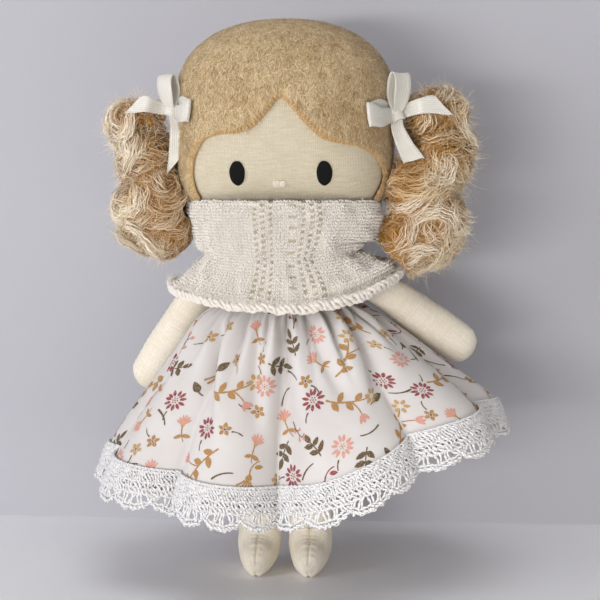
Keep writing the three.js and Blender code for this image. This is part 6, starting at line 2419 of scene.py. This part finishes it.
def make_bows() -> None:
    """Both bows, laid as on the doll.

    Places are x and z of the front view, height off the seat, and width.
    """
    Bow(side=Side.LEFT, knot=(36.3, 149.0), up=(3.0, 12.4, 2.8), cuts=(-2.8, 1.0),
        inner=((35.4, 149.0, 1.4, 4.0), (32.6, 149.0, 2.0, 6.8),
               (30.0, 148.7, 2.1, 7.4), (27.6, 148.4, 2.0, 7.5)),
        tails=(((37.2, 149.5, 1.4, 3.6), (41.3, 150.9, 1.2, 5.6),
                (46.0, 151.7, 1.0, 5.7), (50.8, 151.6, 0.5, 5.6)),
               ((36.2, 147.8, 1.4, 3.4), (36.6, 144.4, 1.6, 5.8),
                (38.8, 139.4, 1.5, 6.3), (41.6, 134.6, 1.0, 6.3)))).build()
    Bow(side=Side.RIGHT, knot=(35.6, 150.6), up=(6.0, 10.4, 2.4), cuts=(2.5, -4.0),
        inner=((34.8, 150.4, 1.4, 3.6), (32.4, 150.4, 2.0, 6.2),
               (30.6, 150.2, 2.1, 6.8), (29.0, 150.0, 2.0, 7.0)),
        tails=(((36.4, 150.7, 1.4, 3.4), (39.6, 151.6, 1.0, 5.2),
                (43.8, 152.4, 0.0, 5.2), (48.0, 152.4, -1.4, 4.8)),
               ((35.0, 149.6, 1.4, 3.4), (34.0, 146.2, 1.6, 5.8),
                (33.8, 141.2, 1.4, 6.2), (34.2, 134.2, 1.0, 6.2)))).build()


@dataclass
class Cowl:
    """The knitted cowl: rows of V stitches on a thin base, a panel of eyelets and a corded edge.

    Each half is its own set of pieces. At the middle of the front and back the halves meet.
    """

    row_step: float = 0.5
    columns: int = 1400
    wales: int = 68
    course: float = 0.98
    wall: float = 1.0
    stitch_half: tuple[float, float, float] = (0.64, 0.285, 0.38)
    cord_reach: float = 1.05
    cord_ply: float = 0.74
    cord_lay: float = 5.4
    fuzz: int = 6400
    fuzz_radius: float = 0.034
    table: SheetTable = field(init=False)
    length: float = field(init=False)

    def __post_init__(self) -> None:
        """Work out the rings of the tube, evenly spaced round and along it."""
        fine = 7200
        profile, angle = self.profile(), np.linspace(0, 2 * math.pi, fine + 1)[:-1]
        halfway = np.argmin(np.abs(profile[:, 0] - 0.5))
        arc = reached(self.rings(profile[halfway][None], angle)[0])
        arc = arc / arc[-1] * (1 - 1 / fine)
        angle = np.interp(np.arange(self.columns) / self.columns, arc, angle)
        points = self.rings(profile, angle)
        down = np.linalg.norm(np.diff(points, axis=0), axis=2).mean(axis=1)
        reach = np.concatenate([[0], np.cumsum(down)])
        self.length = float(reach[-1])
        rows = int(self.length / self.row_step)
        share = np.interp(np.arange(rows) * self.row_step, reach, np.arange(len(profile)))
        low = np.minimum(share.astype(int), len(profile) - 2)
        points = points[low] + (points[low + 1] - points[low]) * (share - low)[:, None, None]
        self.table = SheetTable(points)
        turn = np.arange(self.columns)[None] / self.columns
        depth = np.arange(rows)[:, None] * self.row_step
        rumple = lattice_noise(points, 9, 31) * 0.6 + lattice_noise(points, 3.4, 32) * 0.3
        move = self.folds(points, self.length - depth) + rumple * smooth(depth, 3, 8)
        self.table = SheetTable(points + self.table.normals * move[..., None])
        self.front = float(np.interp(0, self.table.points[60, 900:1200, 0], turn[0, 900:1200]))
        self.back = float(np.interp(0, -self.table.points[60, 200:500, 0], turn[0, 200:500]))

    def profile(self) -> Array:
        """Rows of height share, rises and half sizes, from inside the rim, over it, and down."""
        top = np.array(COWL_ROWS[0], float)
        inside = [top + [-0.12, 0, 0, -1.7, -1.7, -1.7], top + [-0.03, 0, 0, -1.6, -1.6, -1.6],
                  top + [0.012, 0, 0, -0.8, -0.8, -0.8], top + [-0.012, 0, 0, 0.1, 0.1, 0.1]]
        rows = np.vstack([inside, np.array(COWL_ROWS[1:], float)])
        first, second = spline(rows[:, :3], 400), spline(rows[:, 3:], 400)
        return np.hstack([first, second])

    def rings(self, profile: Array, angle: Array) -> Array:
        """Points of the rows round the neck: superellipses that rise at the shoulders."""
        c, s = np.cos(angle)[None], np.sin(angle)[None]
        share, rise_r, rise_l, half_r, half_l, half_y = profile.T[:, :, None]
        bulge = 2 / COWL_POWER
        x = np.sign(c) * np.abs(c) ** bulge * np.where(c > 0, half_l, half_r)
        y = np.sign(s) * np.abs(s) ** bulge * half_y
        rise = np.where(c > 0, rise_l * COWL_RISE_LEFT, rise_r * COWL_RISE_RIGHT)
        return placed(x, y, COWL_BASE + share * COWL_HEIGHT + rise * c ** 2)

    def folds(self, points: Array, above: Array) -> Array:
        """Creases of the cowl, in millimetres out, by place and by length above the hem."""
        x, y = points[..., 0], points[..., 1]
        front_left = smooth(x, 4, 24) * smooth(-y, -16, 2)
        crease = -2.5 * bell(above - 4.3 + 0.03 * x, 0.8) + 1.4 * bell(above - 6.6, 1.5)
        notch = -2.4 * bell(above - 21.5 + 0.08 * (x - 24), 1.5) * smooth(x, 13, 25) * smooth(-y, -19, -6)
        over = 0.9 * bell(above - 24.6, 2.0) * smooth(x, 12, 24)
        tuck = -0.9 * bell(above - 19 - 0.25 * (x + 22), 1.6) * smooth(-x, 12, 25) * smooth(-y, -18, 0)
        wave = 0.25 * np.sin(x / 5.2 + above / 7.0) * smooth(above, 4, 9) * (1 - smooth(above, 20, 28))
        return crease * front_left + notch + over + tuck + wave * smooth(-y, 4, 16)

    def span(self, side: Side) -> tuple[float, float]:
        """The turns at which a half starts and ends: at the middle of the front and of the back."""
        return (self.front, self.back + 1) if side is Side.LEFT else (self.front, self.back)

    def place(self, side: Side, share: Array, down: Array, out: Array | float = 0.0) -> Array:
        """Points of a half at shares from front to back and lengths down from the inside of the rim."""
        return self.table.at(*self.turn_row(side, share, down), out)

    def follow(self, side: Side, part: Part, name: str, finish: Finish) -> bpy.types.Object:
        """Build a piece of the cowl in place of the cowl node, with its placement baked into the mesh."""
        obj = piece(part, f"cowl_{side.label}_{name}", finish, "cowl")
        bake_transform(obj)
        return obj

    def base(self, side: Side) -> bpy.types.Object:
        """The thin knitted base under the stitches: outside, hem, and inside back up to the rim."""
        share = np.linspace(0, 1, 181)[None]
        down = np.linspace(0, self.length - 0.6, 46)[:, None]
        first = 4
        outer = self.place(side, share, down, -0.22)
        inner = self.place(side, share, down[first:], -self.wall * smooth(down[first:], 1, 12) - 0.5)
        points = np.concatenate([outer, inner[::-1]])
        depth = np.concatenate([down[:, 0], down[first:, 0][::-1]])
        uv = np.stack(np.broadcast_arrays(share * self.wales * 0.95, depth[:, None]), axis=-1) * UV_PER_MM
        part = grid_part(points, uv, wrap_rows=True)
        count, last = share.size, 2 * len(down) - 1
        r, k = np.arange(first, len(down) - 1), np.arange(first)
        low = last - first
        sides = np.stack([r, r + 1, low + first - r - 1, low + first - r], axis=1) * count
        fan = np.stack([np.full(first, low), k, k + 1], axis=1) * count
        part.quads = np.vstack([part.quads, sides, sides[:, ::-1] + count - 1])
        part.tris = np.vstack([fan, fan[:, ::-1] + count - 1])
        if side is Side.LEFT:
            part.quads, part.tris = part.quads[:, ::-1], part.tris[:, ::-1]
        wale, course = (share * self.wales).astype(int), ((depth[:, None] - 0.5) / self.course).astype(int)
        # The tone paints shade: a little over the whole base, seen between the stitches, and fully where an
        # eyelet leaves a stitch out.
        part.tones = {"hole": (0.3 + 0.7 * self.is_hole(side, wale, course)).ravel()}
        return self.follow(side, part, "knit", KNIT)

    def is_hole(self, side: Side, wale: Array, course: Array) -> Array:
        """Whether a stitch is left out for an eyelet of the front panel."""
        signed = np.where(side is Side.LEFT, wale, -1 - wale)
        wide_set = np.isin(signed, (2, 3)) & (course % 4 == 1)
        checked = np.isin(signed, (-7, -5, -3, 5, 7, 9)) & ((course + signed // 2) % 2 == 0)
        return wide_set | checked

    def stitches(self, side: Side) -> bpy.types.Object:
        """V stitches: two leaning legs for each wale and course, a little uneven."""
        rng = np.random.default_rng(60 + side.value)
        courses = int((self.length - 1.2) / self.course)
        wale, course = np.meshgrid(np.arange(self.wales), np.arange(courses))
        keep = ~self.is_hole(side, wale, course)
        wale, course = wale[keep], course[keep]
        half_long, half_wide, half_deep = self.stitch_half
        n = len(wale)
        legs = []
        for leg in (-1, 1):
            middle = (wale + 0.5 + leg * 0.25 + rng.normal(size=n) * 0.07) / self.wales
            down = 0.5 + (course + 0.5) * self.course + rng.normal(size=n) * 0.09
            beside = self.is_hole(side, wale - 1, course) | self.is_hole(side, wale + 1, course)
            centre = self.place(side, np.clip(middle, 0.001, 0.999), down, 0.16 + rng.normal(size=n) * 0.09)
            above = self.place(side, np.clip(middle + leg * 0.20 / self.wales, 0, 1), down - 0.42, 0.2)
            below = self.place(side, np.clip(middle - leg * 0.16 / self.wales, 0, 1), down + 0.46, 0.0)
            run = above - below
            normal = unit(self.table.read(self.table.normals, *self.turn_row(side, middle, down)))
            long = unit(run) * (half_long + rng.normal(size=n) * 0.07)[:, None]
            reach = half_wide - 0.03 * beside + rng.normal(size=n) * 0.035
            wide = unit(np.cross(run, normal)) * reach[:, None]
            legs.append(ovals(centre, np.stack([long, wide, normal * half_deep], axis=1), 3, 4))
        return self.follow(side, Part.joined(legs), "stitches", YARN)

    def turn_row(self, side: Side, share: Array, down: Array) -> tuple[Array, Array]:
        """The table's own coordinates of a place."""
        first, last = self.span(side)
        return first + (last - first) * share, np.asarray(down, float) / self.row_step

    def edging(self, side: Side) -> bpy.types.Object:
        """The cord along the hem: three plies twisted about each other, thicker on the left side."""
        steps = 560
        share = np.linspace(-0.004, 1.004, steps)
        along = self.place(side, share, self.length - 0.9, -0.4)
        arc = reached(along) * (1 if side is Side.LEFT else -1)
        thick = 0.84 + 0.16 * smooth(along[:, 0], -10, 20) * smooth(-along[:, 1], -10, 10)
        plies = []
        for phase in (0, 2 * math.pi / 3, 4 * math.pi / 3):
            turn = arc * (2 * math.pi / self.cord_lay) + phase + 0.5 * np.sin(arc * 0.43)
            out = -0.4 + thick * self.cord_reach * np.cos(turn)
            down = self.length - 0.9 + thick * self.cord_reach * np.sin(turn)
            swell = 1 + 0.09 * np.sin(arc * 1.7 + phase * 3) + 0.06 * np.sin(arc * 4.1 + phase)
            row_down = np.minimum(down, self.length - 0.55)
            extra = (down - row_down)[:, None] * np.array([0, 0, -1.0])
            path = self.place(side, share, row_down, out) + extra
            plies.append(tubes(path[None], (thick * self.cord_ply * swell)[None], 8))
        return self.follow(side, Part.joined(plies), "edging", CORD_PAINTED_SHADE)

    def halo(self, side: Side) -> bpy.types.Object:
        """Loose hairs that stand off the knit."""
        rng = np.random.default_rng(70 + side.value)
        share, down = rng.random(self.fuzz), rng.random(self.fuzz) * (self.length - 0.4)
        hem = rng.random(self.fuzz) < 0.25
        down = np.where(hem, self.length - 0.7 - 1.6 * rng.random(self.fuzz), down)
        down = np.where(rng.random(self.fuzz) < 0.15, 1.0 + 2.0 * rng.random(self.fuzz), down)
        turn, row = self.turn_row(side, share, down)
        root = self.table.at(turn, row, 0.2 + 1.2 * hem)
        normal = unit(self.table.read(self.table.normals, turn, row))
        along = np.linspace(0, 1, 5)[None, :, None]
        drift = unit(rng.normal(size=root.shape) + normal * 0.55)[:, None]
        reach = rng.gamma(3.0, 0.3, (self.fuzz, 1, 1)) + 0.4
        bend = unit(rng.normal(size=root.shape))[:, None]
        path = root[:, None] + drift * along * reach + bend * np.sin(along * 3.6) * 0.3 * reach
        dip = ((path - root[:, None]) * normal[:, None]).sum(axis=2, keepdims=True)
        path = path + normal[:, None] * np.maximum(0, 0.1 - dip)
        radii = np.broadcast_to(self.fuzz_radius * (1 - 0.5 * along[..., 0]), path.shape[:2])
        return self.follow(side, tubes(path, radii, 2), "halo", YARN)

    def build(self) -> None:
        """Make both halves."""
        log.info("cowl: %.1f mm from the inside of the rim to the hem", self.length)
        for side in Side:
            trims = [self.stitches(side), self.edging(side), self.halo(side)]
            base = self.base(side)


def main() -> None:
    """Build the whole scene."""
    bpy.context.scene.view_settings.view_transform = "Standard"
    CameraRig().build()
    Studio().build()
    StuffedHead().build()
    Face().build()
    FeltCap().build()
    Torso().build()
    Arm(side=Side.RIGHT, spread=RIGHT_ARM_SPREAD).build()
    Arm(side=Side.LEFT, spread=LEFT_ARM_SPREAD).build()
    Leg(side=Side.RIGHT).build()
    Leg(side=Side.LEFT).build()
    Skirt().build()
    Cowl().build()
    Bunch(side=Side.RIGHT, lobes=RIGHT_LOBES, seed=3, fall=0.95).build()
    Bunch(side=Side.LEFT, lobes=LEFT_LOBES, seed=5).build()
    make_bows()


if __name__ == "__main__":
    main()
